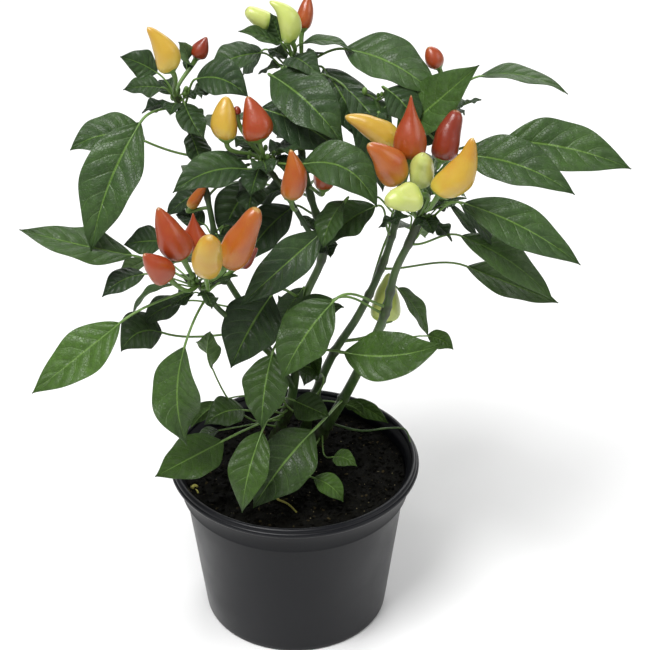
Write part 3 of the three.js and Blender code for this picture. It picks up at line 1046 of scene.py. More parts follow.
# The leaves that the frame holds, by shoot.
LEAVES = (
    Leaf("shoot_left", "left", 0.96, (-45, 20, 295), (-20, 10, 290), 5, 1, 20, -40, 0.1, 1.3),
    Leaf("left_back", "left", 0.82, (-70, 15, 265), (-105, 5, 265), 5, 2, 25, 30, 0.35),
    Leaf("left_hanging", "left", 0.97, (-70, 0, 282), (-94, -26, 227), 5, 0, 28, 30, 0.3, 1.3),
    Leaf("crown_left", "centre", 0.97, (-15, 40, 300), (-40, 30, 295), 2, 0, 18, 20, 0.15, 1.3),
    Leaf("crown_front", "centre", 0.93, (-10, 25, 295), (25, 0, 270), 6, 3, 27, -35, 0.2),
    Leaf("crown_back", "centre", 0.95, (15, 45, 290), (35, 20, 260), 3, 0, 25, -5, 0.1),
    Leaf("crown_right", "centre", 0.98, (25, 45, 300), (70, 20, 285), 5, 0, 28, -25, 0.35),
    Leaf("centre_dark", "centre", 0.85, (-15, 20, 280), (25, 10, 260), 4, 1, 27, -35, 0.0),
    Leaf("inner_long", "inner", 0.96, (-20, -5, 260), (-55, -20, 255), 5, 0, 20, 35, 0.15, 1.3),
    Leaf("inner_dark", "inner", 0.83, (-20, 20, 240), (-35, 10, 215), 2, 0, 22, 35, 0.05),
    Leaf("centre_light", "inner", 0.9, (5, -10, 265), (40, -25, 250), 10, 0, 24, -35, 0.3),
    Leaf("centre_long", "centre", 0.61, (15, -10, 230), (-25, -30, 200), 1, -1, 20, 50, 0.12),
    Leaf("centre_left", "centre", 0.66, (0, 15, 230), (-25, 0, 205), 3, 0, 22, 25, 0.0),
    Leaf("middle_dark", "centre", 0.44, (-10, -10, 195), (-30, -30, 165), 2, 0, 29, 40, 0.0, 1.8),
    Leaf("middle_broad", "right", 0.49, (20, -25, 200), (-5, -40, 165), 2, 1, 28, 30, 0.45, 0.5),
    Leaf("middle_right", "centre", 0.3, (25, -20, 168), (72, -35, 182), -3, 2, 26, -45, 0.55, 0.5),
    Leaf("left_far", "lower", 0.97, (-75, -20, 222), (-128, -20, 236), 1, -3, 22, 20, 0.4),
    Leaf("left_long", "lower", 0.95, (-80, -45, 200), (-122, -60, 170), 0, 0, 24, 35, 0.85, 0.6),
    Leaf("left_dark", "left", 0.27, (-65, -5, 170), (-85, -15, 165), 6, 0, 23, 30, 0.1),
    Leaf("left_low", "lower", 0.84, (-50, -50, 190), (-50, -60, 140), 3, 4, 26, -15, 0.5, 0.7),
    Leaf("rim_left", "centre", 0.08, (-35, -30, 122), (-67, -56, 119), 0, 0, 24, 30, 0.55, 0.5),
    Leaf("front_upper", "centre", 0.24, (-10, -25, 170), (-15, -45, 140), 1, 1, 23, 5, 0.4, 0.5),
    Leaf("front_hanging", "centre", 0.1, (-15, -40, 135), (-25, -60, 100), 6, -1, 20, 15, 0.5, 0.5),
    Leaf("front_broad", "right", 0.17, (10, -25, 125), (-20, -50, 95), 5, -2, 29, 40, 0.25, 0.5),
    Leaf("right_far", "right", 0.87, (100, 5, 270), (160, -5, 260), 3, -1, 26, -45, 0.4),
    Leaf("right_upper", "right", 0.82, (80, 0, 265), (132, -20, 254), 5, 0, 24, -40, 0.25),
    Leaf("right_middle", "right", 0.71, (80, -20, 250), (135, -35, 225), 4, 1, 23, -35, 0.3),
    Leaf("right_lower", "right", 0.66, (80, -15, 230), (125, -25, 200), 4, 0, 20, -25, 0.55, 0.8),
    Leaf("right_lowest", "middle", 0.58, (85, 0, 205), (130, -10, 190), 0, 0, 20, -20, 0.55, 0.8),
    Leaf("right_raised", "middle", 0.9, (50, 20, 265), (87, 6, 308), 0, 0, 26, -55, 0.6, 0.6),
    Leaf("right_arching", "right", 0.99, (90, 35, 290), (132, 25, 285), 5, 0, 19, 0, 0.35),
    Leaf("back_high", "centre", 0.88, (10, 60, 270), (20, 110, 240), 4, 0, 26, 0, 0.2),
    Leaf("back_crown", "centre", 0.86, (-20, 50, 260), (-45, 105, 230), 4, 0, 26, 0, 0.25),
    Leaf("back_middle", "centre", 0.72, (15, 50, 230), (30, 110, 200), 4, 0, 28, 0, 0.3),
    Leaf("back_left", "left", 0.75, (-30, 40, 240), (-60, 90, 210), 4, 0, 24, 0, 0.3),
    Leaf("back_right", "middle", 0.7, (60, 35, 245), (85, 95, 210), 4, 0, 26, 0, 0.3),
    Leaf("back_low", "middle", 0.5, (50, 30, 210), (70, 85, 175), 4, 0, 24, 0, 0.5),
)

# Young, shaded and hidden leaves that the frame doesn't hold.
YOUNG_LEAVES = (
    Leaf("crown_light", "centre", 1.0, (-5, 40, 305), (-25, 30, 315), 1, 0, 13, 20, 0.35, 2, 1),
    Leaf("crown_under", "centre", 0.98, (-15, 55, 295), (-25, 60, 280), 1, 0, 16, 45, 0.0, 2, 1),
    Leaf("crown_upright", "centre", 1.0, (-5, 40, 305), (-10, 40, 320), 0, 1, 10, 70, 0.25, 2, 1),
    Leaf("crown_base", "centre", 0.99, (0, 35, 300), (15, 20, 295), 4, 3, 17, -10, 0.15, 2, 1),
    Leaf("crown_folded", "centre", 0.97, (25, 35, 285), (50, 15, 260), 2, 0, 20, -10, 0.05),
    Leaf("crown_edge", "centre", 1.0, (5, 40, 305), (30, 40, 300), 4, 1, 13, 0, 0.3),
    Leaf("shoot_upright", "left", 0.99, (-50, 28, 296), (-53, 24, 312), 2, -1, 10, 85, 0.0, 2, 2),
    Leaf("shoot_edge", "left", 0.99, (-63, 20, 298), (-80, 18, 307), 1, 0, 14, 50, 0.1, 2, 2),
    Leaf("shoot_under", "left", 0.98, (-60, 10, 295), (-78, 5, 296), 1, 0, 13, 25, 0.15, 2, 2),
    Leaf("shoot_hanging", "left", 0.95, (-50, 8, 288), (-40, -5, 275), 0, 1, 15, 0, 0.15, 2, 2),
    Leaf("shoot_inner", "left", 0.9, (-48, 10, 272), (-42, -2, 258), 1, 0, 14, 10, 0.1, 2, 2),
    Leaf("inner_curly", "inner", 0.91, (-15, -5, 257), (-20, -12, 240), 1, 1, 16, 10, 0.1, 3, 3),
    Leaf("left_inner_dark", "left", 0.71, (-42, 15, 240), (-62, 12, 226), 1, 1, 14, 25, 0.05),
    Leaf("centre_hanging", "centre", 0.63, (25, -8, 245), (15, -18, 225), 1, 2, 17, 0, 0.35),
    Leaf("centre_quilted", "middle", 0.67, (40, 0, 238), (15, -8, 220), 3, 0, 19, 25, 0.3, 2, 2),
    Leaf("right_hanging", "right", 0.53, (52, 10, 187), (68, 8, 160), 2, -1, 14, -15, 0.7),
    Leaf("middle_low", "middle", 0.15, (14, 2, 141), (0, -4, 150), 2, -1, 15, 30, 0.3),
    Leaf("left_curled", "centre", 0.03, (-40, -15, 155), (-40, -20, 180), 1, 2, 14, 20, 0.2, 2, 2),
    Leaf("left_small", "lower", 0.96, (-60, -15, 227), (-80, -15, 225), 1, 0, 16, 35, 0.1),
    Leaf("left_pale", "lower", 0.94, (-70, -10, 215), (-85, -10, 205), 0, 1, 12, -60, 0.4),
    Leaf("left_spoon", "lower", 0.93, (-70, -20, 212), (-90, -30, 205), 3, 0, 14, 20, 0.1),
    Leaf("left_edge", "lower", 0.95, (-55, -35, 215), (-75, -40, 200), 5, 0, 10, -10, 0.2),
    Leaf("left_shade", "left", 0.36, (-55, 0, 185), (-75, -5, 175), 2, 0, 15, 25, 0.05),
    Leaf("low_dark", "centre", 0.11, (-25, -10, 127), (-45, -20, 125), 4, -1, 18, 25, 0.3, 0.6),
    Leaf("low_grey", "centre", 0.12, (-40, 15, 115), (-55, 10, 102), 1, 1, 12, -80, 0.2),
    Leaf("low_left", "centre", 0.06, (-38, -15, 118), (-50, -20, 112), 2, 0, 11, 0, 0.2),
    Leaf("low_centre", "middle", 0.08, (0, -10, 133), (18, -20, 130), 0, 0, 17, -30, 0.35, 0.5),
    Leaf("low_small_a", "right", 0.03, (20, -20, 105), (32, -28, 105), 3, 1, 10, -35, 0.7, 0.5),
    Leaf("low_small_b", "right", 0.02, (10, -35, 103), (25, -42, 93), 3, 0, 13, -20, 0.7, 0.5),
    Leaf("low_strip", "right", 0.06, (28, 42, 97), (50, 32, 90), 2, 0, 10, -60, 0.9, 0.6),
    Leaf("low_back", "middle", 0.12, (25, 25, 108), (37, 25, 100), 1, -1, 11, 60, 0.4),
    Leaf("low_shade", "middle", 0.2, (12, 5, 155), (5, 0, 135), 1, 0, 17, 10, 0.4),
    Leaf("middle_shade", "centre", 0.42, (5, 5, 190), (-10, 0, 165), 1, 0, 16, 10, 0.15),
    Leaf("middle_under", "right", 0.47, (20, -15, 195), (-5, -20, 170), 3, 0, 24, 20, 0.4),
    Leaf("right_narrow_a", "right", 0.72, (75, -5, 242), (90, -10, 225), 0, 0, 8, -5, 0.1),
    Leaf("right_narrow_b", "right", 0.74, (80, -12, 245), (98, -15, 222), 1, 0, 10, -20, 0.1),
    Leaf("right_back", "right", 0.97, (72, 45, 270), (55, 38, 250), -1, 1, 22, 40, 0.1),
    Leaf("right_shade", "right", 0.9, (45, 20, 290), (60, 10, 275), 2, 0, 20, -20, 0.05),
    Leaf("right_curl", "middle", 0.3, (67, 0, 165), (80, -5, 160), 2, 0, 10, -60, 0.6, 2, 2),
    Leaf("centre_shade_left", "inner", 0.6, (0, 5, 246), (-20, 5, 232), 3, 0, 15, 10, 0.1, 2, 2),
    Leaf("centre_shade", "middle", 0.72, (42, 15, 235), (15, 15, 243), 3, 0, 17, -10, 0.1, 2, 2),
    Leaf("centre_shade_right", "middle", 0.95, (30, 25, 278), (44, 15, 238), 3, 0, 23, -10, 0.15),
    Leaf("rear_middle_left", "centre", 0.7, (-15, 50, 225), (-35, 105, 190), 4, 0, 27, 0, 0.35),
    Leaf("rear_low_right", "middle", 0.6, (55, 35, 225), (90, 75, 205), 4, 0, 22, 0, 0.4),
    Leaf("rear_low_left", "left", 0.5, (-45, 20, 195), (-65, 65, 170), 4, 0, 24, 0, 0.4),
    Leaf("rear_crown", "centre", 0.8, (0, 60, 245), (5, 105, 220), 4, 0, 26, 10, 0.2),
    Leaf("rear_side_left", "left", 0.7, (-30, 40, 240), (-58, 75, 215), 4, 0, 22, 10, 0.3),
    Leaf("rear_side_right", "middle", 0.85, (45, 45, 250), (55, 95, 230), 4, 0, 24, -10, 0.25),
)


def tuft(name: str, stem: str, at: float, count: int, length: float, tone: float = 0.1) -> tuple[Leaf, ...]:
    """Set small crumpled leaves round a shoot, each turned on from the last by the golden angle.

    Args:
        name: The tuft's name, which its leaves carry with a number.
        stem: The stem that it grows on.
        at: Its place along the stem, from 0 at the foot to 1 at the tip.
        count: How many leaves it has.
        length: The length of a blade.
        tone: The leaves' tone.

    Returns:
        The leaves.
    """
    rng = random.Random(f"{SEED} {name}")
    foot = STEMS[stem].curve.at(at) / MM
    leaves = []
    for number in range(count):
        turn = number * GOLDEN_ANGLE + rng.uniform(-0.3, 0.3)
        lift = 0.8 - 1.2 * number / count
        out = Vector((math.cos(turn), math.sin(turn), lift)).normalized()
        base = foot + out * length * 0.35
        tip = base + (out - UP * 0.4).normalized() * length * rng.uniform(0.75, 1.15)
        roll = rng.uniform(-20, 20)
        leaf_at, width = at - 0.012 * number, 0.75 * length
        leaf_name = f"{name}_{number}"
        leaves.append(Leaf(leaf_name, stem, leaf_at, tuple(base), tuple(tip), 1, 0, width, roll, tone, 3, 3))
    return tuple(leaves)


TUFTS = (
    *tuft("shoot_tuft", "left", 0.98, 6, 15.0),
    *tuft("crown_tuft", "centre", 0.99, 6, 13.0),
    *tuft("inner_tuft", "inner", 0.97, 10, 18.0),
    *tuft("right_tuft", "right", 0.73, 6, 16.0),
    *tuft("lower_tuft", "lower", 0.9, 5, 13.0, 0.2),
    *tuft("left_tuft", "left", 0.6, 5, 17.0, 0.05),
    *tuft("centre_tuft", "centre", 0.6, 5, 15.0, 0.1),
    *tuft("right_tip_tuft", "right", 0.97, 5, 14.0, 0.05),
    *tuft("middle_tuft", "middle", 0.97, 5, 16.0, 0.05),
    *tuft("fork_tuft", "centre", 0.38, 4, 17.0, 0.25),
)


# ---------------------------------------------------------------------------------------------------------
# Fruits
# ---------------------------------------------------------------------------------------------------------


@dataclass
class Fruit:
    """A fruit with its calyx and stalk: foot and tip of the fruit, its width and its ripeness.

    The bend moves the middle of the fruit sideways, in millimetres, and lumps is how uneven its sides are.
    """

    name: str
    stem: str
    at: float
    foot: Place
    tip: Place
    width: float
    ripeness: Ripeness
    bend: Place = (0.0, 0.0, 0.0)
    form: Form = Form.CONE
    lumps: float = 1.0

    def __post_init__(self) -> None:
        """Work out the fruit's own frame."""
        self.rng = random.Random(f"{SEED} {self.name}")
        self.start, self.end = metres(self.foot), metres(self.tip)
        self.length = (self.end - self.start).length
        heading = (self.end - self.start).normalized()
        side = heading.cross(Vector((0.31, 0.87, 0.38))).normalized()
        turn = Matrix((side, heading.cross(side), heading)).transposed().to_4x4()
        self.frame = Matrix.Translation(self.start) @ turn
        self.heading = heading

    def build(self) -> bpy.types.Object:
        """Build the fruit, its calyx and its stalk as one piece.

        Returns:
            The new piece.
        """
        bm = bmesh.new()
        self._body(bm)
        self._calyx(bm)
        self._stalk(bm)
        node = f"fruit_{self.name}"
        finishes = [SKINS[self.ripeness], PETIOLE]
        return finished_piece(bm, f"{self.name}_fruit", finishes, node)

    def _body(self, bm: bmesh.types.BMesh) -> None:
        """Spin the fruit's profile, then make it uneven and bend it.

        Args:
            bm: The mesh to add to.
        """
        along = bm.verts.layers.float.new("along")
        radius = self.width / 2 * MM
        outline = Curve([Vector((share, girth, 0.0)) for share, girth in self.form.value], 3).points
        profile = [(radius * max(point.y, 0.0), self.length * point.x) for point in outline]
        offset = Vector((self.rng.uniform(-50, 50), self.rng.uniform(-50, 50), 0.0))
        grooves, turn = self.rng.choice((3, 4)), self.rng.uniform(0, math.tau)
        bend = metres(self.bend)
        for vert in spin_profile(bm, profile, 32):
            share = min(max(vert.co.z / self.length, 0.0), 1.0)
            vert[along] = share
            angle = math.atan2(vert.co.y, vert.co.x)
            uneven = 0.15 * self.lumps * noise.noise(vert.co * 105 + offset)
            uneven += 0.035 * self.lumps * math.cos(grooves * angle + turn) * (1 - share)
            vert.co.x *= 1 + uneven
            vert.co.y *= 1 + uneven
            vert.co = self.frame @ vert.co + bend * math.sin(math.pi * share)

    def _calyx(self, bm: bmesh.types.BMesh) -> None:
        """Spin the small cup that holds the fruit and cut its rim into five low teeth.

        Args:
            bm: The mesh to add to.
        """
        radius = self.width / 2 * MM
        grip = 0.66 * radius
        profile = [
            (0.9 * MM, -2.6 * MM),
            (1.2 * MM, -1.5 * MM),
            (0.55 * grip + 0.5 * MM, -0.5 * MM),
            (grip, 0.5 * MM),
            (grip * 1.06, 1.3 * MM),
            (grip * 0.9, 1.2 * MM),
            (0.5 * grip, 0.3 * MM),
            (0.4 * MM, -0.6 * MM),
        ]
        for vert in spin_profile(bm, profile, 30, closed=True):
            reach = math.hypot(vert.co.x, vert.co.y) / grip
            tooth = 1 + 0.14 * math.cos(5 * math.atan2(vert.co.y, vert.co.x)) * max(0.0, reach - 0.5)
            vert.co.x *= tooth
            vert.co.y *= tooth
            vert.co = self.frame @ vert.co
            for face in vert.link_faces:
                face.material_index = 1

    def _stalk(self, bm: bmesh.types.BMesh) -> None:
        """Sweep the stalk, which thickens towards the calyx.

        Args:
            bm: The mesh to add to.
        """
        stem = STEMS[self.stem]
        end = self.start - self.heading * 1.2 * MM
        path = stalk_course(stem, self.at, end, self.heading, 14)
        radii = [(0.85 + 0.45 * (step / 14) ** 2 + 0.3 * math.exp(-step)) * MM for step in range(15)]
        woody = [0.6 * math.exp(-step * 0.7) for step in range(15)]
        for face in sweep_tube(bm, path, radii, 10, woody):
            face.material_index = 1


PALE, YELLOW, ORANGE, VERMILION, RED = Ripeness

# The fruits that the frame holds, by cluster.
FRUITS = (
    Fruit("shoot_yellow", "left", 1, (-55, 5, 306), (-65, 5, 327), 12.5, YELLOW, (2, 0, 0.5), Form.HORN),
    Fruit("crown_pale", "centre", 1, (0, 30, 310), (-10, 30, 330), 11, PALE, (3, 0, 3), Form.HORN),
    Fruit("crown_red", "centre", 0.96, (5, 45, 310), (8, 50, 325), 8, VERMILION, form=Form.EGG),
    Fruit("right_small", "right", 0.96, (70, 35, 295), (65, 35, 305), 9, VERMILION, form=Form.EGG),
    Fruit("inner_orange", "inner", 1, (-30, -5, 275), (-30, 0, 295), 12, YELLOW, (-1, 0, 0), Form.EGG),
    Fruit("inner_red", "inner", 0.92, (-15, -5, 275), (-20, 0, 295), 14.5, VERMILION, (1, 0, 0)),
    Fruit("centre_orange", "inner", 0.5, (0, -15, 250), (0, -15, 275), 12, ORANGE, (2, 0, 0)),
    Fruit("right_long", "right", 0.74, (50, 0, 270), (25, 0, 285), 12.5, YELLOW, (0, 0, 2), Form.HORN),
    Fruit("right_red", "right", 0.72, (50, -25, 265), (35, -30, 285), 15, ORANGE, (1, 0, 1), Form.HORN),
    Fruit("right_spiked", "right", 0.78, (55, -15, 270), (55, -10, 300), 15, VERMILION, form=Form.SPIKE),
    Fruit("right_dark", "right", 0.83, (70, -5, 265), (77, 0, 288), 13, RED, form=Form.FINGER),
    Fruit("right_yellow", "right", 0.74, (68, -32, 261), (82, -34, 290), 15, YELLOW, (3, 0, -2), Form.HORN),
    Fruit("right_pale", "right", 0.77, (60, -20, 260), (60, -30, 280), 11.5, PALE, (0, 0, 0), Form.EGG, 2.6),
    Fruit("left_red", "lower", 1, (-50, -40, 232), (-60, -40, 258), 15, VERMILION, (-0.6, 0, 0)),
    Fruit("left_small", "lower", 0.89, (-45, -30, 230), (-45, -30, 250), 12, VERMILION, form=Form.SPIKE),
    Fruit("left_orange", "lower", 0.95, (-30, -35, 225), (-15, -35, 255), 15, ORANGE, form=Form.FINGER),
    Fruit("left_yellow", "lower", 0.93, (-38, -55, 233), (-35, -68, 258), 14, YELLOW, form=Form.EGG),
    Fruit("left_lowest", "lower", 0.97, (-56, -50, 227), (-66, -55, 242), 12.5, VERMILION),
)

# Fruits that the frame doesn't hold.
SMALL_FRUITS = (
    Fruit("shoot_dark", "left", 0.99, (-45, 30, 302), (-40, 30, 312), 8, RED),
    Fruit("crown_pale_small", "centre", 1, (-10, 45, 312), (-22, 45, 320), 10, PALE, form=Form.FINGER),
    Fruit("centre_red", "centre", 0.72, (15, 2, 246), (17, 5, 268), 11, VERMILION),
    Fruit(
        "right_pale_low", "right", 0.72, (58, -34, 261), (43, -46, 264), 12, PALE, (0, 0, 0), Form.EGG, 2.6
    ),
    Fruit("left_dark", "lower", 0.87, (-25, -22, 218), (-16, -20, 226), 8, RED),
    Fruit("left_behind", "left", 0.67, (-50, 10, 232), (-42, 10, 244), 6, ORANGE, form=Form.FINGER),
    Fruit("hidden_pale", "middle", 0.34, (46, 15, 165), (48, 20, 190), 15, PALE, form=Form.HORN),
    Fruit("purple_bud", "inner", 0.97, (-25, 0, 286), (-25, 0, 290), 4, RED, form=Form.EGG),
)


# ---------------------------------------------------------------------------------------------------------
# Pot and soil
# ---------------------------------------------------------------------------------------------------------


@dataclass
class Pot:
    """The nursery pot: its height and rim follow the frame's pot, and all lengths are millimetres."""

    wall: float = 1.4
    lip_height: float = 5.0
    roll: float = 1.6
    collar: float = 17.5
    collar_radius: float = 59.5
    top_radius: float = 57.6
    base_radius: float = 48.5
    holes: int = 6
    hole_radius: float = 3.5
    hole_circle: float = 30.0
    turns: int = 128

    def __post_init__(self) -> None:
        """Read the rim and the height from the frame."""
        low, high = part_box("pot")
        self.rim = (high.x - low.x) / 2 / MM
        self.height = (high.z - low.z) / MM
        self.collar_foot = self.height - self.collar

    def wall_radius(self, height: float) -> float:
        """Give the outer wall's radius under the collar."""
        return self.base_radius + (self.top_radius - self.base_radius) * height / self.collar_foot

    def profile(self) -> list[tuple[float, float]]:
        """Give the wall's outline, from the base's middle up the outside, over the lip and down inside.

        Returns:
            The points as radius and height, in metres.
        """
        top, foot, base = self.height, self.collar_foot, self.base_radius
        outer = [(0.0, 0.0), (base - 9, 0.0), (base - 1.2, 0.0), (base - 0.3, 0.3), (base + 0.1, 1.2)]
        outer += [(self.wall_radius(h), h) for h in (3.0, 20.0, 40.0, 60.0, foot - 1.0, foot - 0.3)]
        outer += [(self.wall_radius(foot) + 0.5, foot), (self.collar_radius - 0.3, foot + 0.1)]
        outer += [(self.collar_radius + 0.2, foot + 0.5), (self.collar_radius + 0.1, foot + 1.1)]
        brow = top - self.lip_height
        outer += [(self.collar_radius - 0.1, foot + 1.8), (self.collar_radius + 0.5, brow - 2)]
        outer += [(self.collar_radius + 1.4, brow - 0.6)]
        lip = self._roll(self.rim - self.roll, top - self.lip_height + self.roll + 0.1, -105, 45)
        lip += self._roll(self.rim - self.roll - 0.9, top - self.roll, -15, 200)
        inner = [(self.collar_radius - 0.2, top - 4), (self.collar_radius - self.wall, top - 6.5)]
        inner += [(self.collar_radius - self.wall, foot + 1.4)]
        inner += [(self.wall_radius(h) - self.wall, h) for h in (foot - 0.6, 30.0)]
        inner += [(base - self.wall, 3.2), (base - self.wall - 1.2, 2.0)]
        return [(radius * MM, height * MM) for radius, height in outer + lip + inner + [(0.0, 2.0)]]

    def _roll(self, radius: float, height: float, first: float, last: float) -> list[tuple[float, float]]:
        """Give the points of one round roll of the lip between two angles in degrees.

        Args:
            radius: The radius of the roll's middle.
            height: The height of the roll's middle.
            first: The first angle.
            last: The last angle.

        Returns:
            The points, in millimetres.
        """
        steps = 8
        points = []
        for step in range(steps + 1):
            turn = math.radians(first + (last - first) * step / steps)
            points.append((radius + self.roll * math.cos(turn), height + self.roll * math.sin(turn)))
        return points

    def build(self) -> bpy.types.Object:
        """Spin the wall and cut the drain holes.

        Returns:
            The new piece.
        """
        bm = bmesh.new()
        spin_profile(bm, self.profile(), self.turns)
        piece = finished_piece(bm, "pot_shell", [POT_PLASTIC], "pot")
        cutter = self._hole_cutter()
        cut = piece.modifiers.new("drain_holes", "BOOLEAN")
        cut.operation, cut.solver, cut.object = "DIFFERENCE", "EXACT", cutter
        bpy.context.view_layer.update()
        ready = piece.evaluated_get(bpy.context.evaluated_depsgraph_get())
        drilled = bpy.data.meshes.new_from_object(ready)
        piece.modifiers.clear()
        piece.data = drilled
        drilled.shade_smooth()
        drilled.set_sharp_from_angle(angle=math.radians(40))
        bpy.data.objects.remove(cutter)
        return piece

    def _hole_cutter(self) -> bpy.types.Object:
        """Make the pins that cut the drain holes through the base.

        Returns:
            The pins as one object.
        """
        bm = bmesh.new()
        for index in range(self.holes):
            turn = math.tau * index / self.holes
            place = Vector((math.cos(turn), math.sin(turn), 0.0)) * self.hole_circle * MM
            bmesh.ops.create_cone(
                bm, cap_ends=True, segments=24, radius1=self.hole_radius * MM, radius2=self.hole_radius * MM,
                depth=12 * MM, matrix=Matrix.Translation(place),
            )
        mesh = bpy.data.meshes.new("drain_pins")
        bm.to_mesh(mesh)
        bm.free()
        cutter = bpy.data.objects.new("drain_pins", mesh)
        bpy.context.scene.collection.objects.link(cutter)
        return cutter


@dataclass
class Soil:
    """The potting mix: a crowned plug with a crumbly top, grit, bark chips and a few fallen bits."""

    pot: Pot
    drop: float = 9.0
    crown: float = 3.0
    crumbs: int = 1900
    grit: int = 170
    chips: int = 150
    steps: int = 132
    rows: int = 44

    def __post_init__(self) -> None:
        """Read the plug's sizes from the frame."""
        low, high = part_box("soil")
        self.low = low.z
        self.edge = (high.x - low.x) / 2
        self.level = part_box("pot")[1].z - self.drop * MM
        self.rng = random.Random(f"{SEED} soil")

    def height(self, x: float, y: float) -> float:
        """Give the height of the surface at a place, in metres.

        Args:
            x: The place to the right, in metres.
            y: The place to the back, in metres.

        Returns:
            The height in metres.
        """
        reach = min(1.0, math.hypot(x, y) / self.edge)
        x_mm, y_mm = x / MM, y / MM
        uneven = 0.7 * math.sin(x_mm * 0.16) * math.cos(y_mm * 0.13 + 0.6)
        rough = 1.1 * noise.noise(Vector((x_mm, y_mm, 3.0)) * 0.21)
        rough += 0.7 * noise.noise(Vector((x_mm, y_mm, 9.0)) * 0.6)
        fade = min(1.0, (1.02 - reach) * 6)
        return self.level + (self.crown * (1 - reach * reach) + (uneven + rough) * fade) * MM

    def build(self) -> bpy.types.Object:
        """Build the plug with everything that lies on it.

        Returns:
            The new piece.
        """
        bm = bmesh.new()
        self._plug(bm)
        self._scatter(bm, self.crumbs, (0.4, 1.7), 0, 0.8)
        self._scatter(bm, self.grit, (0.18, 0.5), 1, 0.8)
        self._scatter(bm, self.chips, (0.5, 1.5), 2, 0.35)
        self._fallen_stalk(bm)
        return finished_piece(bm, "soil_plug", [SOIL, GRIT, BARK, DRY], "soil")

    def _plug(self, bm: bmesh.types.BMesh) -> None:
        """Spin the plug and roughen its top.

        Args:
            bm: The mesh to add to.
        """
        foot = self.pot.collar_foot
        gap = self.pot.wall + 0.45
        sides = [(self.pot.base_radius - gap - 2, 0.0), (self.pot.wall_radius(6) - gap, 6.0)]
        under_collar = self.pot.wall_radius(foot - 2) - gap
        sides += [(under_collar, foot - 2), (under_collar, foot + 1.9)]
        profile = [(0.0, self.low)] + [(radius * MM, max(height * MM, self.low)) for radius, height in sides]
        profile += [(self.edge, (foot + 2.4) * MM)]
        profile += [(self.edge * (self.rows - row) / self.rows, self.level) for row in range(self.rows + 1)]
        for vert in spin_profile(bm, profile, self.steps):
            if vert.co.z > self.level - 1 * MM:
                vert.co.z = self.height(vert.co.x, vert.co.y)

    def _scatter(
        self, bm: bmesh.types.BMesh, count: int, sizes: tuple[float, float], index: int, flat: float
    ) -> None:
        """Strew small lumps over the surface.

        Args:
            bm: The mesh to add to.
            count: The number of lumps.
            sizes: The smallest and largest radius, in millimetres.
            index: Their material index.
            flat: How thick they are against their width.
        """
        for _ in range(count):
            turn = self.rng.uniform(0, math.tau)
            reach = self.edge * math.sqrt(self.rng.random()) * 0.985
            x, y = reach * math.cos(turn), reach * math.sin(turn)
            size = sizes[0] + (sizes[1] - sizes[0]) * self.rng.random() ** 2.2
            spin = Matrix.Rotation(self.rng.uniform(0, math.tau), 4, "Z")
            lean = Matrix.Rotation(self.rng.uniform(-0.5, 0.5), 4, "X")
            form = Matrix.Diagonal((1.0, self.rng.uniform(0.5, 0.95), flat * self.rng.uniform(0.6, 1), 1.0))
            place = Matrix.Translation((x, y, self.height(x, y) + 0.15 * size * MM))
            turned = place @ spin @ lean @ form
            made = bmesh.ops.create_icosphere(bm, subdivisions=1, radius=size * MM, matrix=turned)
            for vert in made["verts"]:
                vert.co += Vector([self.rng.uniform(-0.16, 0.16) * size * MM for _ in range(3)])
            for face in {face for vert in made["verts"] for face in vert.link_faces}:
                face.material_index = index

    def _fallen_stalk(self, bm: bmesh.types.BMesh) -> None:
        """Lay a dried, curled petiole and two dried scraps on the surface.

        Args:
            bm: The mesh to add to.
        """
        courses = (
            (((-10, -22), (-11.5, -26), (-8, -31), (-3, -34), (1.5, -40)), 0.8),
            (((-49.5, -22), (-50, -20), (-51.5, -18)), 0.5),
            (((-53, -18), (-51.5, -16.5), (-50, -17.5)), 1.1),
        )
        for course, radius in courses:
            spots = [(x * MM, y * MM) for x, y in course]
            laid = [Vector((x, y, self.height(x, y) + radius * 0.8 * MM)) for x, y in spots]
            path = Curve(laid, 5).points
            radii = [radius * MM * (1 - 0.5 * step / len(path)) for step in range(len(path))]
            for face in sweep_tube(bm, path, radii, 8, [0.0] * len(path)):
                face.material_index = 3


# ---------------------------------------------------------------------------------------------------------
# Whole plant and studio
# ---------------------------------------------------------------------------------------------------------


@dataclass
class BareStalk:
    """A petiole that has lost its blade."""

    stem: str
    at: float
    course: tuple[Place, ...]
    radius: float = 0.7

    def shape(self, bm: bmesh.types.BMesh) -> None:
        """Sweep the stalk from inside its stem.

        Args:
            bm: The mesh to add to.
        """
        start = STEMS[self.stem].curve.at(self.at)
        path = Curve([start, *(metres(place) for place in self.course)], 6).points
        radii = [self.radius * MM * (1 - 0.45 * step / len(path)) for step in range(len(path))]
        sweep_tube(bm, path, radii, 8, [0.0] * len(path))


@dataclass
class BudTuft:
    """A tuft of tiny flower buds on short stalks round a shoot tip."""

    name: str
    stem: str
    at: float
    count: int = 7
    spread: float = 8.0

    def build(self) -> bpy.types.Object:
        """Build the tuft as one piece.

        Returns:
            The new piece.
        """
        bm = bmesh.new()
        rng = random.Random(f"{SEED} {self.name}")
        stem = STEMS[self.stem]
        for _ in range(self.count):
            start = stem.curve.at(self.at - rng.uniform(0.0, 0.05))
            turn, lift = rng.uniform(0, math.tau), rng.uniform(0.3, 1.2)
            out = Vector((math.cos(turn), math.sin(turn), lift)).normalized()
            end = start + out * rng.uniform(0.55, 1.0) * self.spread * MM
            path = bezier(start, start.lerp(end, 0.4) + UP * MM, end - UP * 2 * MM, end, 5)
            sweep_tube(bm, path, [0.42 * MM] * 6, 6, [0.2] * 6)
            size = rng.uniform(0.9, 1.5) * MM
            form = Matrix.Diagonal((size, size, size * 1.5, 1.0))
            bmesh.ops.create_icosphere(bm, subdivisions=2, radius=1.0, matrix=Matrix.Translation(end) @ form)
        return finished_piece(bm, f"buds_{self.name}", [PETIOLE])


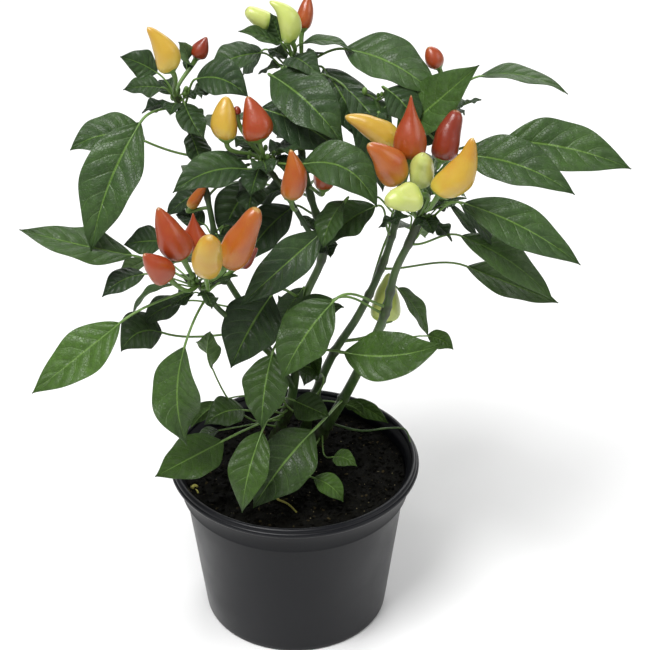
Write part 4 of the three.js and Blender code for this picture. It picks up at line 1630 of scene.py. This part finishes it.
BUDS = (
    BudTuft("shoot", "left", 1.0),
    BudTuft("crown", "centre", 1.0, 9),
    BudTuft("inner", "inner", 1.0, 10),
    BudTuft("right", "right", 0.76, 12, 11.0),
    BudTuft("right_tip", "right", 1.0, 5),
    BudTuft("middle_tip", "middle", 1.0, 6),
    BudTuft("lower", "lower", 1.0, 8),
)

BARE_STALKS = {
    "stem_right": (BareStalk("right", 0.07, ((34, 2, 106), (48, 0, 109), (57, -1, 109), (60, -4, 103))),),
}


class Plant:
    """The plant: what grows on the stems first, then the stems with their joints."""

    def build(self) -> None:
        """Build every leaf, fruit, bud and stem."""
        for leaf in (*LEAVES, *YOUNG_LEAVES, *TUFTS):
            leaf.build()
        for fruit in (*FRUITS, *SMALL_FRUITS):
            fruit.build()
        for buds in BUDS:
            buds.build()
        self._stem_piece("stem_centre", ("centre", "left", "lower", "inner"))
        self._stem_piece("stem_right", ("right",))
        self._stem_piece("stem_middle", ("middle",))

    @staticmethod
    def _stem_piece(node: str, names: tuple[str, ...]) -> bpy.types.Object:
        """Build one stem with its branches as one piece.

        Args:
            node: The frame's node that it replaces.
            names: The stem and its branches.

        Returns:
            The new piece.
        """
        bm = bmesh.new()
        for name in names:
            STEMS[name].shape(bm)
        for stalk in BARE_STALKS.get(node, ()):
            stalk.shape(bm)
        return finished_piece(bm, f"{node}_grown", [STEM], node)


@dataclass
class Studio:
    """A pale floor, soft light and the camera."""

    camera_place: Place = (15.8, -735.8, 617.2)
    camera_pitch: float = 31.21
    lens: float = 95.5
    sensor: float = 36.0
    sky: float = 0.38
    floor_size: float = 14.0

    def build(self) -> None:
        """Set up the camera, the light and the floor."""
        self._camera()
        self._light()
        self._floor()

    def _camera(self) -> None:
        """Look down on the plant from the front."""
        camera = bpy.data.objects.new("studio_camera", bpy.data.cameras.new("studio_camera"))
        camera.data.lens = self.lens
        camera.data.sensor_width = self.sensor
        camera.location = metres(self.camera_place)
        camera.rotation_euler = (math.radians(90 - self.camera_pitch), 0.0, 0.0)
        camera.data.clip_end = 50.0
        bpy.context.scene.collection.objects.link(camera)
        bpy.context.scene.camera = camera

    def _light(self) -> None:
        """Light the plant from all around, with a broad key light, a fill at the right and one behind."""
        world = bpy.data.worlds.new("studio_world")
        world.use_nodes = True
        world.node_tree.nodes["Background"].inputs["Color"].default_value = (1.0, 1.0, 1.0, 1.0)
        world.node_tree.nodes["Background"].inputs["Strength"].default_value = self.sky
        bpy.context.scene.world = world
        bpy.context.scene.view_settings.view_transform = "Standard"
        self._softbox("key", (-0.5, -0.6, 1.8), 0.9, 38.0)
        self._softbox("fill", (1.2, -0.4, 0.9), 0.8, 4.0)
        self._softbox("rear", (0.3, 1.2, 1.1), 0.9, 9.0)

    @staticmethod
    def _softbox(name: str, place: Place, size: float, power: float) -> None:
        """Hang one square soft light that faces the plant.

        Args:
            name: The light's name.
            place: Where it hangs, in metres.
            size: Its side, in metres.
            power: Its power, in watts.
        """
        data = bpy.data.lights.new(name, "AREA")
        data.size = size
        data.energy = power
        lamp = bpy.data.objects.new(name, data)
        lamp.location = place
        lamp.rotation_euler = (LAMP_AIM - Vector(place)).to_track_quat("-Z", "Y").to_euler()
        bpy.context.scene.collection.objects.link(lamp)

    def _floor(self) -> None:
        """Lay a pale floor under the pot."""
        bm = bmesh.new()
        bmesh.ops.create_grid(bm, x_segments=1, y_segments=1, size=self.floor_size / 2)
        mesh = bpy.data.meshes.new("studio_floor")
        bm.to_mesh(mesh)
        bm.free()
        desk = NodeDesk("studio_floor")
        mesh.materials.append(desk.surface(Base_Color=(0.9, 0.9, 0.9), Roughness=0.8))
        floor = bpy.data.objects.new("studio_floor", mesh)
        floor.location.z = -0.2 * MM
        bpy.context.scene.collection.objects.link(floor)


def main() -> None:
    """Build the studio, the pot, the soil and the plant; each piece logs its face count."""
    logging.basicConfig(level=logging.INFO, format="%(name)s: %(message)s")
    Studio().build()
    pot = Pot()
    pot.build()
    Soil(pot).build()
    Plant().build()


if __name__ == "__main__":
    main()
